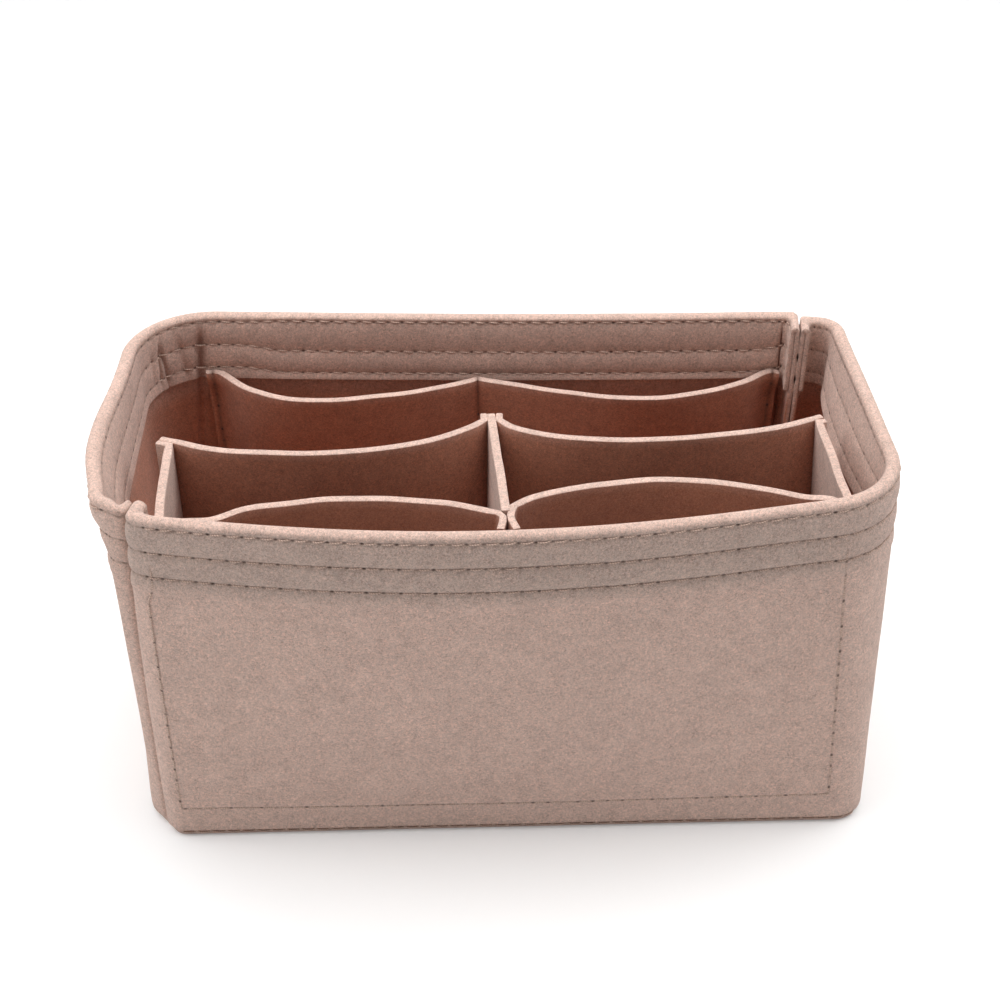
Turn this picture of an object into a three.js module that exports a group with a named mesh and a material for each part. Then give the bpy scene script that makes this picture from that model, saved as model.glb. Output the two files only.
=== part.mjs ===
// A felt organizer insert for a handbag: two wall strips sewn into an open box, with a base,
// a box of two cells and a row of pockets sewn inside.
// Millimetres. X runs along the length, Y from front to back, Z up, the floor at zero.
import * as THREE from 'three';

// Outside of the insert
const rimLength = 230;
const rimWidth = 117;
const height = 124.5;
const lengthTaper = 1.5;
const widthTaper = 2;
const floorShift = 3.75;

// Felt, folds and seams
const felt = 2.5;
const hemThickness = 4.4;
const hemEdge = 0.6;
const foldInside = 1.3;
const bendSquareShare = 5;
const seamGap = 0.3;
const endGap = 1.1;
const liningGap = 0.7;
const settling = 4;

// Stitch rows of the folded hem, measured down from the rim
const rowInset = 2.6;
const rowSpacing = 8.4;
const hemMargin = 4.2;
const rowCount = 3;

// The two plain corners
const rimCorner = 28;
const floorCorner = 10;

// Front left seam. The first strip's straight front begins so far in from the side, and an arc
// leads on from it to the seam, which travels round the corner towards the floor. The second
// strip's side meets it with an arc of its own, and stands back from it a little.
const frontLineInsetRim = 23.1;
const frontLineInsetFloor = 14.5;
const frontArcRim = 12;
const frontArcFloor = 8;
const frontTurnRim = THREE.MathUtils.degToRad(12);
const frontTurnFloor = THREE.MathUtils.degToRad(62);
const frontReturnRim = 9;
const frontReturnMiddle = 5.5;
const frontReturnFloor = 41.5;
const frontReturnRimShare = 4;
const frontReturnFloorShare = 6;
const frontRecessRim = 1.8;
const frontRecessFloor = 0.5;
const frontFlapRim = 8;
const frontFlapFloor = 6;
const frontFarFlapRim = 9.2;
const frontFarFlapFloor = 6.4;

// Back right seam, the same way
const backLineInsetRim = 20.4;
const backLineInsetFloor = 19.7;
const backArc = 20;
const backTurn = THREE.MathUtils.degToRad(8);
const backReturnRim = 8.6;
const backReturnFloor = 11.7;
const backRecessRim = 2.5;
const backRecessFloor = 0.5;
const backFlap = 12.5;
const backPressShare = 0.68;

// The front's rim bows outwards and the back's a little inwards, and both bows fade towards the
// floor. Their middles and half spans are shares of half the length, seen from the wall's strip.
const frontBowDepth = 11.8;
const frontBowMiddleShare = -0.07;
const frontBowSpanShare = 0.87;
const backBowDepth = 5.5;
const backBowMiddleShare = -0.52;
const backBowSpanShare = 1.48;
const bowRoundShare = 1.2;
const bowFadeShare = 1.5;

// Base
const baseInset = 1.2;
const baseEdge = 0.5;

// Box of two cells: its ends, measured in from the walls' outer faces, and its seams
const boxDrop = 7.5;
const leftEndFloor = 15.5;
const leftEndRim = 20.3;
const rightEndRim = 16.6;
const rightEndFloor = 10;
const leftCornerFlap = 4;
const rightCornerFlap = 2.4;
const cornerFlapTilt = THREE.MathUtils.degToRad(20);
const middleFlap = 3.4;
const pocketFlap = 9;
const flapFlare = 0.5;
const flapTurn = 2;
const pocketTurnSpread = 2.2;
const pocketTurnShares = { straight: 0.6, lean: 0.3, past: 1.6, belly: 0.7 };
const pinchShares = { across: 0.35, along: 0.35, end: 0.35 };
const gussetShares = [0.35, 0.7];
const gussetTurnShare = 0.8;
const gussetFrontShare = 0.65;
const cornerFlapShares = [0.12, 0.6];
const dividerBackShares = { floor: [-0.033, -0.07], rim: [0, 0] };
const dividerFrontShares = { floor: [-0.033, -0.845], rim: [0.02, -0.8] };
const leftCornerShares = { floor: -0.14, rim: -0.18 };
const rightCornerShares = { floor: -0.07, rim: -0.043 };

// Bellies of the box's panels: share of the way from the box's end to the divider,
// then the place in depth as a share of half the width
const leftPocketShares = {
  floor: [[0.16, -0.865], [0.28, -0.87], [0.48, -0.87], [0.7, -0.865], [0.86, -0.855], [0.93, -0.85]],
  rim: [[0.12, -0.85], [0.22, -0.77], [0.4, -0.712], [0.62, -0.695], [0.8, -0.73], [0.92, -0.79]],
};
const rightPocketShares = {
  floor: [[0.1, -0.865], [0.25, -0.87], [0.48, -0.87], [0.7, -0.865], [0.86, -0.855], [0.93, -0.85]],
  rim: [[0.09, -0.735], [0.21, -0.665], [0.39, -0.585], [0.56, -0.57], [0.77, -0.63], [0.92, -0.71]],
};
const leftMiddleShares = {
  floor: [[0.12, -0.135], [0.35, -0.12], [0.6, -0.1], [0.85, -0.08], [0.94, -0.075]],
  rim: [[0.1, -0.23], [0.28, -0.285], [0.52, -0.29], [0.8, -0.19], [0.94, -0.06]],
};
const rightMiddleShares = {
  floor: [[0.12, -0.07], [0.35, -0.075], [0.6, -0.08], [0.85, -0.08], [0.94, -0.075]],
  rim: [[0.12, -0.105], [0.35, -0.182], [0.6, -0.21], [0.8, -0.175], [0.94, -0.075]],
};

// Pocket strip on the back wall: its ends and, between them, its two bellies
const backPocketDrop = 19.5;
const backPocketEnd = 21.5;
const backPocketLap = 4.2;
const backMiddlePointCount = 6;
const backBellyShares = {
  floor: [
    [0.06, 0.92], [0.18, 0.92], [0.33, 0.92], [0.47, 0.925],
    [0.59, 0.92], [0.75, 0.92], [0.86, 0.92], [0.95, 0.92],
  ],
  rim: [
    [0.063, 0.675], [0.15, 0.565], [0.325, 0.6], [0.47, 0.76],
    [0.59, 0.64], [0.745, 0.53], [0.857, 0.575], [0.95, 0.685],
  ],
};

// Sewing thread, which lies just off the felt, and its runs
const threadWidth = 0.6;
const threadThickness = 0.3;
const threadOffset = 0.15;
const panelThreadOffset = 0.3;
const bottomRow = 13;
const frontSeamDrop = 16.5;
const backSeamDrop = 24;
const seamEndInset = 3;
const crossing = 1.2;
const crossingShares = [-2, -1, 1, 2];
const rowEndShare = 0.2;

// Fineness of the faceted shapes, as counts
const lineStepCount = 14;
const sideStepCount = 4;
const cornerStepCount = 6;
const bendStepCount = 4;
const rollStepCount = 3;
const spanStepCount = 2;

// Looks
const feltColour = '#b29b8e';
const threadColour = '#c2ab9d';

// Heights that several pieces share
const wallBottom = felt + seamGap;
const rowHeights = Array.from({ length: rowCount }, (_, i) => height - rowInset - i * rowSpacing);
const hemBottom = rowHeights[rowCount - 1] - hemMargin;
const boxTop = height - boxDrop;
const backPocketTop = height - backPocketDrop;
const belowHemShares = [0.27, 0.5, 0.75];
const settledHeight = hemBottom - settling;
const heights = [
  wallBottom,
  bottomRow,
  ...belowHemShares.map((share) => THREE.MathUtils.lerp(wallBottom, settledHeight, share)),
  settledHeight,
  hemBottom,
];

const lerp = THREE.MathUtils.lerp;
const quarter = Math.PI / 2;
const shiftAt = (z) => lerp(floorShift, 0, z / height);
const halfLengthAt = (z) => rimLength / 2 - lerp(lengthTaper / 2, 0, z / height);
const halfWidthAt = (z) => rimWidth / 2 - lerp(widthTaper / 2, 0, z / height);
const liningAt = (z) => {
  if (z >= hemBottom) return hemThickness;
  return z <= settledHeight ? felt : lerp(felt, hemThickness, (z - settledHeight) / settling);
};

// Radius of the bend where a strip's end turns inwards
const bendAt = (z) => lerp(felt, hemThickness, z / height) + foldInside;

// Outward bow of a strip's long wall at a place along it and a height
const bowFade = (z) => Math.sin(quarter * (z / height)) ** bowFadeShare;
function bowAt(turned, x, z) {
  const middleShare = turned ? backBowMiddleShare : frontBowMiddleShare;
  const spanShare = turned ? backBowSpanShare : frontBowSpanShare;
  const depth = turned ? -backBowDepth : frontBowDepth;
  const along = (x / (rimLength / 2) - middleShare) / spanShare;
  return depth * Math.max(0, 1 - along * along) ** bowRoundShare * bowFade(z);
}

// Each strip is drawn as the front and right one: it starts at a seam, runs right along the
// front, round the corner, back along the side and into the other seam. The other strip is
// the same, turned half way round.
const sideAt = (turned, z) => halfLengthAt(z) + (turned ? -shiftAt(z) : shiftAt(z));
const point2 = (x, y) => new THREE.Vector2(x, y);

// Seam where a strip starts, seen from that strip: its place on the outside, the direction
// inwards along the turned-in end, and the direction along the strip
function startSeam(turned, z) {
  const rise = z / height;
  const arc = turned ? backArc : lerp(frontArcFloor, frontArcRim, rise);
  const turn = turned ? backTurn : lerp(frontTurnFloor, frontTurnRim, rise);
  const inset = turned
    ? lerp(backLineInsetFloor, backLineInsetRim, rise)
    : lerp(frontLineInsetFloor, frontLineInsetRim, rise);
  const flap = turned ? backFlap : lerp(frontFlapFloor, frontFlapRim, rise);
  const farFlap = turned ? backFlap : lerp(frontFarFlapFloor, frontFarFlapRim, rise);
  const lineX = inset - sideAt(!turned, z);
  const arcCentre = point2(lineX, arc - halfWidthAt(z));
  const inwards = point2(Math.sin(turn), Math.cos(turn));
  const along = point2(Math.cos(turn), -Math.sin(turn));
  const place = arcCentre.clone()
    .addScaledVector(inwards, -arc)
    .addScaledVector(along, -seamGap / 2 - bendAt(z));
  return { arc, turn, flap, farFlap, lineX, arcCentre, inwards, along, place };
}

// Arc with which the second strip's side meets the front seam: tight but for its two ends
const frontReturnAt = (rise) => frontReturnMiddle
  + (frontReturnRim - frontReturnMiddle) * rise ** frontReturnRimShare
  + (frontReturnFloor - frontReturnMiddle) * (1 - rise) ** frontReturnFloorShare;

// Plan of a wall strip at a height
function planAt(turned, z) {
  const rise = z / height;
  const start = startSeam(turned, z);
  const other = startSeam(!turned, z);
  const recess = turned
    ? lerp(frontRecessFloor, frontRecessRim, rise)
    : lerp(backRecessFloor, backRecessRim, rise);
  const returnArc = turned ? frontReturnAt(rise) : lerp(backReturnFloor, backReturnRim, rise);
  const bend = bendAt(z);
  const beside = (seam, sign, outwards, inwards) => seam.place.clone().multiplyScalar(sign)
    .addScaledVector(seam.along, seamGap / 2 + outwards)
    .addScaledVector(seam.inwards, sign * inwards);
  return {
    line: halfWidthAt(z),
    side: sideAt(turned, z),
    corner: lerp(floorCorner, rimCorner, rise),
    bend,
    returnArc,
    start,
    other,
    farFlap: other.farFlap - recess,
    startFlap: (depth) => beside(start, 1, 0, depth),
    startBendCentre: beside(start, 1, bend, bend),
    endFlap: (depth) => beside(other, -1, 0, recess + depth),
    endBendCentre: beside(other, -1, bend, recess + bend),
    returnCentre: beside(other, -1, bend, recess + returnArc),
  };
}

const onArc = (centre, radius, turn) => point2(
  centre.x + radius * Math.cos(turn), centre.y + radius * Math.sin(turn));

// Stretches of a wall strip's plan: a point for a share of the way along each
const stretches = {
  startFlap: (p, share) => p.startFlap(lerp(p.start.flap, p.bend, share)),
  startBend: (p, share) => onArc(p.startBendCentre, p.bend, (2 + share) * quarter - p.start.turn),
  startArc: (p, share) => onArc(p.start.arcCentre, p.start.arc, 3 * quarter - (1 - share) * p.start.turn),
  line: (p, share) => point2(lerp(p.start.lineX, p.side - p.corner, share), -p.line),
  corner: (p, share) => onArc(point2(p.side - p.corner, p.corner - p.line), p.corner, (3 + share) * quarter),
  side: (p, share) => point2(p.side, p.corner - p.line)
    .lerp(point2(p.returnCentre.x + p.returnArc, p.returnCentre.y), share),
  returnArc: (p, share) => onArc(p.returnCentre, p.returnArc, share * (quarter - p.other.turn)),
  endBend: (p, share) => onArc(p.endBendCentre, p.bend, (1 + share) * quarter - p.other.turn),
  endFlap: (p, share) => p.endFlap(lerp(p.bend, p.farFlap, share)),
};

// A strip's far end follows the bow of the other strip's long wall, and its side leads over
const farStretches = new Set(['returnArc', 'endBend', 'endFlap']);
function onWallFace(wall, stretch, share, z) {
  const point = stretches[stretch](planAt(wall.turned, z), share);
  const farShare = stretch === 'side' ? share : Number(farStretches.has(stretch));
  const bow = lerp(-bowAt(wall.turned, point.x, z), bowAt(!wall.turned, -point.x, z), farShare);
  return point2(point.x, point.y + bow);
}

// How far a station lies into a strip's turned-in end: zero on the walls, one on the end itself
const turnedIn = {
  startFlap: () => 1,
  startBend: (share) => 1 - share,
  endBend: (share) => share,
  endFlap: () => 1,
};

// A strip is squeezed thinner along the turned-in ends of the back seam
function squeezeAt(wall, { stretch, share }) {
  if (!(stretch in turnedIn) || stretch.startsWith('start') !== wall.turned) return 1;
  return lerp(1, backPressShare, turnedIn[stretch](share));
}

// The outer face of a turned-in bend is pressed out towards a square corner
function squareAt({ stretch, share }, z) {
  if (!stretch.endsWith('Bend')) return 0;
  const turn = quarter * share;
  const round = Math.cos(turn) ** bendSquareShare + Math.sin(turn) ** bendSquareShare;
  return bendAt(z) * (round ** (-1 / bendSquareShare) - 1);
}

// A point on or inside a wall strip: so far in from its outer face
function onWall(wall, station, z, depth) {
  const { stretch, share } = station;
  const step = 1e-4;
  const point = onWallFace(wall, stretch, share, z);
  const ahead = onWallFace(wall, stretch, share + step, z);
  const behind = onWallFace(wall, stretch, share - step, z);
  const along = ahead.sub(behind).normalize();
  const inwards = squeezeAt(wall, station) * depth
    - squareAt(station, z) * Math.max(0, 1 - depth / liningAt(z));
  const place = new THREE.Vector3(point.x - along.y * inwards, point.y + along.x * inwards, z);
  return wall.turned ? place.set(-place.x, -place.y, z) : place;
}

const shares = (steps) => Array.from({ length: steps }, (_, i) => i / steps);
const stationsOf = (stretch, list) => list.map((share) => ({ stretch, share }));
const wallStations = [
  ...stationsOf('startFlap', shares(1)),
  ...stationsOf('startBend', shares(bendStepCount)),
  ...stationsOf('startArc', shares(bendStepCount)),
  ...stationsOf('line', shares(lineStepCount)),
  ...stationsOf('corner', shares(cornerStepCount)),
  ...stationsOf('side', shares(sideStepCount)),
  ...stationsOf('returnArc', shares(cornerStepCount)),
  ...stationsOf('endBend', shares(bendStepCount)),
  ...stationsOf('endFlap', [0, 1]),
];

// The front or back wall's face at a place along the length, so far in from its outer face
function straightFace(turned, x, z, depth) {
  const sign = turned ? -1 : 1;
  const plan = planAt(turned, z);
  const bow = (shift) => bowAt(turned, sign * x + shift, z);
  const beyond = sign * x - (plan.side - plan.corner);
  if (beyond > 0) {
    const radius = plan.corner - depth;
    const reach = Math.sqrt(Math.max(0, radius * radius - beyond * beyond));
    return sign * (plan.corner - plan.line - reach - bow(0));
  }
  const slope = (bow(felt) - bow(-felt)) / (2 * felt);
  return sign * (depth * Math.hypot(1, slope) - plan.line - bow(0));
}
const frontFace = (x, z, depth) => straightFace(false, x, z, depth);
const backFace = (x, z, depth) => straightFace(true, x, z, depth);

// Forward end of a panel that stands square to the front wall, clear of it on both of its faces
const frontEnd = (x, z) => Math.max(...[-1, 1].map(
  (side) => frontFace(x + (side * felt) / 2, z, liningAt(z) + endGap)));

// Solid between sections. A section is a left edge going up and a right edge coming down, and
// the two end sections are closed unless the last section meets the first again.
function loft(sections, leftCount, closed = false) {
  const size = sections[0].length;
  const positions = sections.flat().flatMap((point) => [point.x, point.y, point.z]);
  const faces = [];
  const rounds = closed ? sections.length : sections.length - 1;
  for (let i = 0; i < rounds; i += 1) {
    const next = (i + 1) % sections.length;
    for (let j = 0; j < size; j += 1) {
      const k = (j + 1) % size;
      const [a, b, c, d] = [i * size + j, i * size + k, next * size + k, next * size + j];
      faces.push([a, b, c], [a, c, d]);
    }
  }
  if (!closed) {
    const last = (sections.length - 1) * size;
    for (const [a, b, c] of sectionFaces(sections[0], leftCount)) {
      faces.push([a, c, b], [last + a, last + b, last + c]);
    }
  }
  return solidOf(positions, faces);
}

// Triangles that fill a section, zipped up between its left and right edges
function sectionFaces(section, leftCount) {
  const faces = [];
  let left = 0;
  let right = section.length - 1;
  while (left < leftCount - 1 || right > leftCount) {
    const leftNext = left < leftCount - 1 ? section[left + 1].z : Infinity;
    const rightNext = right > leftCount ? section[right - 1].z : Infinity;
    if (leftNext <= rightNext) {
      faces.push([left, left + 1, right]);
      left += 1;
    } else {
      faces.push([left, right - 1, right]);
      right -= 1;
    }
  }
  return faces;
}

// Geometry of a closed solid with its faces turned outwards
function solidOf(positions, faces) {
  const corner = (i) => new THREE.Vector3().fromArray(positions, 3 * i);
  const volume = faces.reduce(
    (sum, [a, b, c]) => sum + corner(a).dot(corner(b).cross(corner(c))), 0);
  const geometry = new THREE.BufferGeometry();
  geometry.setAttribute('position', new THREE.Float32BufferAttribute(positions, 3));
  geometry.setIndex(faces.flatMap(([a, b, c]) => (volume > 0 ? [a, b, c] : [a, c, b])));
  geometry.computeVertexNormals();
  return geometry;
}

// Wall strip: a sheet of felt with its top folded inwards into the hem
function wallGeometry(wall) {
  const rollRadius = hemThickness / 2;
  const rollHeight = height - rollRadius;
  const rowsUp = [...rowHeights].reverse().filter((z) => z < rollHeight);
  const roll = (turn) => [rollRadius - rollRadius * Math.cos(turn), rollHeight + rollRadius * Math.sin(turn)];
  const rollTurns = shares(rollStepCount).map((share) => quarter * share);
  const left = [
    ...heights.map((z) => [0, z]),
    ...rowsUp.map((z) => [0, z]),
    ...rollTurns.map(roll),
    roll(quarter),
  ];
  const right = [
    ...heights.map((z) => [felt, z]),
    [hemThickness, hemBottom + hemEdge],
    ...rowsUp.map((z) => [hemThickness, z]),
    ...rollTurns.map((turn) => roll(Math.PI - turn)),
  ];
  const profile = [...left, ...right.reverse()];
  const sections = wallStations.map((station) => profile.map(
    ([depth, z]) => onWall(wall, station, z, depth)));
  return loft(sections, left.length);
}

// Line beside a path, so far to its left
function besidePath(path, offset) {
  return path.map((point, i) => {
    const before = path[Math.max(0, i - 1)];
    const after = path[Math.min(path.length - 1, i + 1)];
    const into = point.clone().sub(before).normalize();
    const out = after.clone().sub(point).normalize();
    const along = into.clone().add(out).normalize();
    const reach = offset / along.dot(i === 0 ? out : into);
    return point2(point.x - along.y * reach, point.y + along.x * reach);
  });
}

// Smooth path through hand-placed points
function smoothPath(points) {
  const curve = new THREE.CatmullRomCurve3(
    points.map(([x, y]) => new THREE.Vector3(x, y, 0)), false, 'centripetal');
  return curve.getPoints(spanStepCount * (points.length - 1)).map(({ x, y }) => point2(x, y));
}

const panelHeights = (top) => [...heights, ...[...rowHeights].reverse()].filter((z) => z < top).concat(top);

// Standing panel of felt along a path that changes with the height
function panelGeometry(pathAt, top) {
  const levels = panelHeights(top);
  const faces = levels.map((z) => {
    const path = smoothPath(pathAt(z));
    return [besidePath(path, felt / 2), besidePath(path, -felt / 2)];
  });
  const lift = (point, z) => new THREE.Vector3(point.x, point.y, z);
  const sections = faces[0][0].map((_, i) => [
    ...levels.map((z, j) => lift(faces[j][0][i], z)),
    ...levels.map((z, j) => lift(faces[j][1][i], z)).reverse(),
  ]);
  return loft(sections, levels.length);
}

// The box's ends at a height, at the corners and where they meet the front wall
function boxEndAt(side, z) {
  const inset = side < 0
    ? lerp(leftEndFloor, leftEndRim, z / boxTop)
    : lerp(rightEndFloor, rightEndRim, z / boxTop);
  return shiftAt(z) + side * (halfLengthAt(z) - inset);
}
function boxFrontAt(side, z) {
  if (side > 0) return boxEndAt(side, z);
  const seam = startSeam(false, z);
  const flapReach = seam.place.x + seam.flap * seam.inwards.x
    + (seamGap / 2 + liningAt(z)) * seam.along.x;
  return flapReach + liningGap + felt / 2;
}
function sharePoint(pair, z) {
  const xShare = lerp(pair.floor[0], pair.rim[0], z / boxTop);
  const yShare = lerp(pair.floor[1], pair.rim[1], z / boxTop);
  return [shiftAt(z) + xShare * halfLengthAt(z), yShare * halfWidthAt(z)];
}
const dividerBackAt = (z) => sharePoint(dividerBackShares, z);
const dividerFrontAt = (z) => sharePoint(dividerFrontShares, z);
function dividerX(y, z) {
  const [backX, backY] = dividerBackAt(z);
  const [frontX, frontY] = dividerFrontAt(z);
  return lerp(backX, frontX, (y - backY) / (frontY - backY));
}

const layer = felt + seamGap;

// Belly of a cell's panel between the box's end and the divider
function bellyPoints(table, z, endX, dividerPlace) {
  return table.rim.map(([rimAlong, rimDepth], i) => {
    const [floorAlong, floorDepth] = table.floor[i];
    const along = lerp(floorAlong, rimAlong, z / boxTop);
    const depth = lerp(floorDepth, rimDepth, z / boxTop);
    return [lerp(endX, dividerPlace, along), depth * halfWidthAt(z)];
  });
}

// Forward end of the turned pocket ends: as long as the flap, or up to the front wall
function pocketFlapEnd(z) {
  const [x, y] = dividerFrontAt(z);
  return Math.max(y - pocketFlap, frontFace(x, z, liningAt(z) + endGap + flapFlare / 2));
}

// Front pocket of one cell: butts against the front wall beside the gusset, bellies back into
// the cell, and turns forwards beside the divider
function frontPocketPath(side, table) {
  return (z) => {
    const endX = boxFrontAt(side, z) - side * layer;
    const [pinchX, pinchY] = dividerFrontAt(z);
    const wallY = frontEnd(endX, z);
    const belly = bellyPoints(table, z, endX, pinchX);
    const turnY = Math.max(belly[0][1] - flapTurn, (wallY + belly[0][1]) / 2);
    const flapEnd = pocketFlapEnd(z);
    const flapX = (y) => dividerX(y, z) + side * layer;
    const cornerY = pinchY + side * pocketTurnSpread * (z / boxTop);
    const pastPinch = lerp(cornerY, flapEnd, pinchShares.end);
    return [
      [endX, wallY],
      [endX, lerp(wallY, turnY, pocketTurnShares.straight)],
      [endX - side * flapTurn * pocketTurnShares.lean, turnY],
      [endX - side * flapTurn * pocketTurnShares.past, lerp(turnY, belly[0][1], pocketTurnShares.belly)],
      ...belly,
      [flapX(cornerY) + side * flapTurn * pinchShares.across, cornerY + flapTurn * pinchShares.along],
      [flapX(pastPinch), pastPinch],
      [flapX(flapEnd) + side * flapFlare, flapEnd],
    ];
  };
}

// Corner where a gusset and a middle panel are sewn together, with their ends pointing outwards
const cornerFlapOf = (side) => (side < 0 ? leftCornerFlap : rightCornerFlap);
function cornerAt(side, z) {
  const pair = side < 0 ? leftCornerShares : rightCornerShares;
  const base = point2(boxEndAt(side, z), lerp(pair.floor, pair.rim, z / boxTop) * halfWidthAt(z));
  const out = point2(side * Math.cos(cornerFlapTilt), Math.sin(cornerFlapTilt));
  const behind = point2(-side * out.y, side * out.x);
  return (along, across) => base.clone()
    .addScaledVector(out, along)
    .addScaledVector(behind, across)
    .toArray();
}

// Gusset at one end of the box: from the front wall back to the corner, where its end turns out
function gussetPath(side) {
  return (z) => {
    const x = boxEndAt(side, z);
    const frontX = boxFrontAt(side, z);
    const wallY = frontEnd(frontX, z);
    const place = cornerAt(side, z);
    const [, cornerY] = place(0, -layer / 2);
    const bendY = cornerY - flapTurn * gussetTurnShare;
    const onLine = (share) => [lerp(frontX, x, share), lerp(wallY, bendY, share)];
    return [
      [frontX, wallY],
      [frontX, wallY + pocketFlap * gussetFrontShare],
      ...gussetShares.map(onLine),
      [x, bendY],
      ...cornerFlapShares.map((share) => place(cornerFlapOf(side) * share, -layer / 2)),
      place(cornerFlapOf(side), -layer / 2),
    ];
  };
}

// Middle panel of one cell: from the corner inwards, and turned back beside the divider
function middlePath(side, table) {
  return (z) => {
    const place = cornerAt(side, z);
    const [pinchX, pinchY] = dividerBackAt(z);
    const flapX = (y) => dividerX(y, z) + side * layer;
    const flapEnd = pinchY + middleFlap;
    return [
      place(cornerFlapOf(side), layer / 2),
      place(cornerFlapOf(side) / 2, layer / 2),
      place(0, layer / 2),
      ...bellyPoints(table, z, boxEndAt(side, z), pinchX),
      [flapX(pinchY) + side * flapTurn * pinchShares.across, pinchY - flapTurn * pinchShares.along],
      [flapX(pinchY), lerp(pinchY, flapEnd, pinchShares.end)],
      [flapX(pinchY) + side * flapFlare, flapEnd],
    ];
  };
}

// Divider: straight, its ends reaching between the turned ends of the panels
function dividerPath(z) {
  const backY = dividerBackAt(z)[1] + middleFlap;
  const frontY = pocketFlapEnd(z);
  return shares(3).concat(1).map((share) => {
    const y = lerp(backY, frontY, share);
    return [dividerX(y, z), y];
  });
}

// Pocket strip on the back wall: both its ends lie on the wall, the right one beside the wall's
// seam, and it bellies out twice between them
const backPocketLeftAt = (z) => shiftAt(z) - halfLengthAt(z) + backPocketEnd;
const backSeamX = -startSeam(true, backPocketTop).place.x;
const backFlapTilt = backFlap * Math.sin(backTurn);
const backPocketRight = backSeamX - backFlapTilt - seamGap / 2 - hemThickness * backPressShare - liningGap;
function backPocketPath(z) {
  const left = backPocketLeftAt(z);
  const flat = (x) => [x, backFace(x, z, liningAt(z) + liningGap + felt / 2)];
  const belly = backBellyShares.rim.map(([rimAlong, rimDepth], i) => {
    const [floorAlong, floorDepth] = backBellyShares.floor[i];
    const along = lerp(floorAlong, rimAlong, z / backPocketTop);
    const depth = lerp(floorDepth, rimDepth, z / backPocketTop);
    const x = lerp(left + backPocketLap, backPocketRight - backPocketLap, along);
    return [x, Math.min(depth * halfWidthAt(z), flat(x)[1])];
  });
  return [
    flat(left),
    flat(left + backPocketLap / 2),
    flat(left + backPocketLap),
    ...belly,
    flat(backPocketRight - backPocketLap),
    flat(backPocketRight - backPocketLap / 2),
    flat(backPocketRight),
  ];
}

// Base: a plate that the walls stand on, its edge set in from their outer faces
const faceStretches = new Set(['startArc', 'line', 'corner', 'side', 'returnArc']);
const faceStations = wallStations.filter((station) => faceStretches.has(station.stretch));
function baseOutline(inset) {
  return [false, true].flatMap((turned) => faceStations.map((station) => {
    const place = onWall({ turned }, station, 0, inset);
    return point2(place.x, place.y);
  }));
}
function baseGeometry() {
  return new THREE.ExtrudeGeometry(new THREE.Shape(baseOutline(baseInset)), {
    depth: felt - 2 * baseEdge,
    bevelThickness: baseEdge,
    bevelSize: baseEdge,
    bevelOffset: -baseEdge,
    bevelSegments: 1,
  }).translate(0, 0, baseEdge);
}

// Thread of the base seam, in the notch below the walls' lower edges
function baseThreadGeometry() {
  const inner = baseOutline(baseInset - threadOffset);
  const outer = baseOutline(baseInset - threadOffset - threadThickness);
  const low = (felt - threadWidth) / 2;
  const sections = inner.map((point, i) => [
    new THREE.Vector3(point.x, point.y, low),
    new THREE.Vector3(point.x, point.y, low + threadWidth),
    new THREE.Vector3(outer[i].x, outer[i].y, low + threadWidth),
    new THREE.Vector3(outer[i].x, outer[i].y, low),
  ]);
  return loft(sections, 2, true);
}

// Thread of one hem row, on the outer or the inner face of a wall strip
function rowThreadGeometry(wall, z, inside) {
  const near = inside ? hemThickness + threadOffset : -threadOffset;
  const far = inside ? near + threadThickness : near - threadThickness;
  const stations = inside
    ? [
      { stretch: 'startFlap', share: rowEndShare },
      ...wallStations.slice(1, -1),
      { stretch: 'endFlap', share: 1 - rowEndShare },
    ]
    : faceStations;
  const sections = stations.map((station) => [
    onWall(wall, station, z - threadWidth / 2, near),
    onWall(wall, station, z + threadWidth / 2, near),
    onWall(wall, station, z + threadWidth / 2, far),
    onWall(wall, station, z - threadWidth / 2, far),
  ]);
  return loft(sections, 2);
}

// Thread on the outside of the front or back: down, along the bottom row and up again
function panelThreadGeometry(face, leftAt, rightAt, top) {
  const onRow = (z) => rowHeights.some((row) => Math.abs(z - row) < crossing + threadWidth);
  const clear = panelThreadOffset + threadThickness + seamGap;
  const aroundRows = rowHeights.flatMap((row) => crossingShares.map((share) => row + share * crossing));
  const levels = [...heights, ...aroundRows].filter((z) => z > bottomRow && z < top).concat(top);
  levels.sort((a, b) => a - b);
  const along = shares(2 * lineStepCount).concat(1);
  const path = [
    ...[...levels].reverse().map((z) => [leftAt(z), z]),
    ...along.map((share) => [lerp(leftAt(bottomRow), rightAt(bottomRow), share), bottomRow]),
    ...levels.map((z) => [rightAt(z), z]),
  ];
  const onFace = ([x, z], depth) => new THREE.Vector3(x, face(x, z, -depth), z);
  const sections = path.map((place, i) => {
    const before = path[Math.max(0, i - 1)];
    const after = path[Math.min(path.length - 1, i + 1)];
    const run = point2(after[0] - before[0], after[1] - before[1]).normalize();
    const side = (sign) => [
      place[0] - (sign * run.y * threadWidth) / 2, place[1] + (sign * run.x * threadWidth) / 2];
    const near = onRow(place[1]) ? clear : panelThreadOffset;
    return [
      onFace(side(-1), near),
      onFace(side(1), near),
      onFace(side(1), near + threadThickness),
      onFace(side(-1), near + threadThickness),
    ];
  });
  return loft(sections, 2);
}

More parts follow.
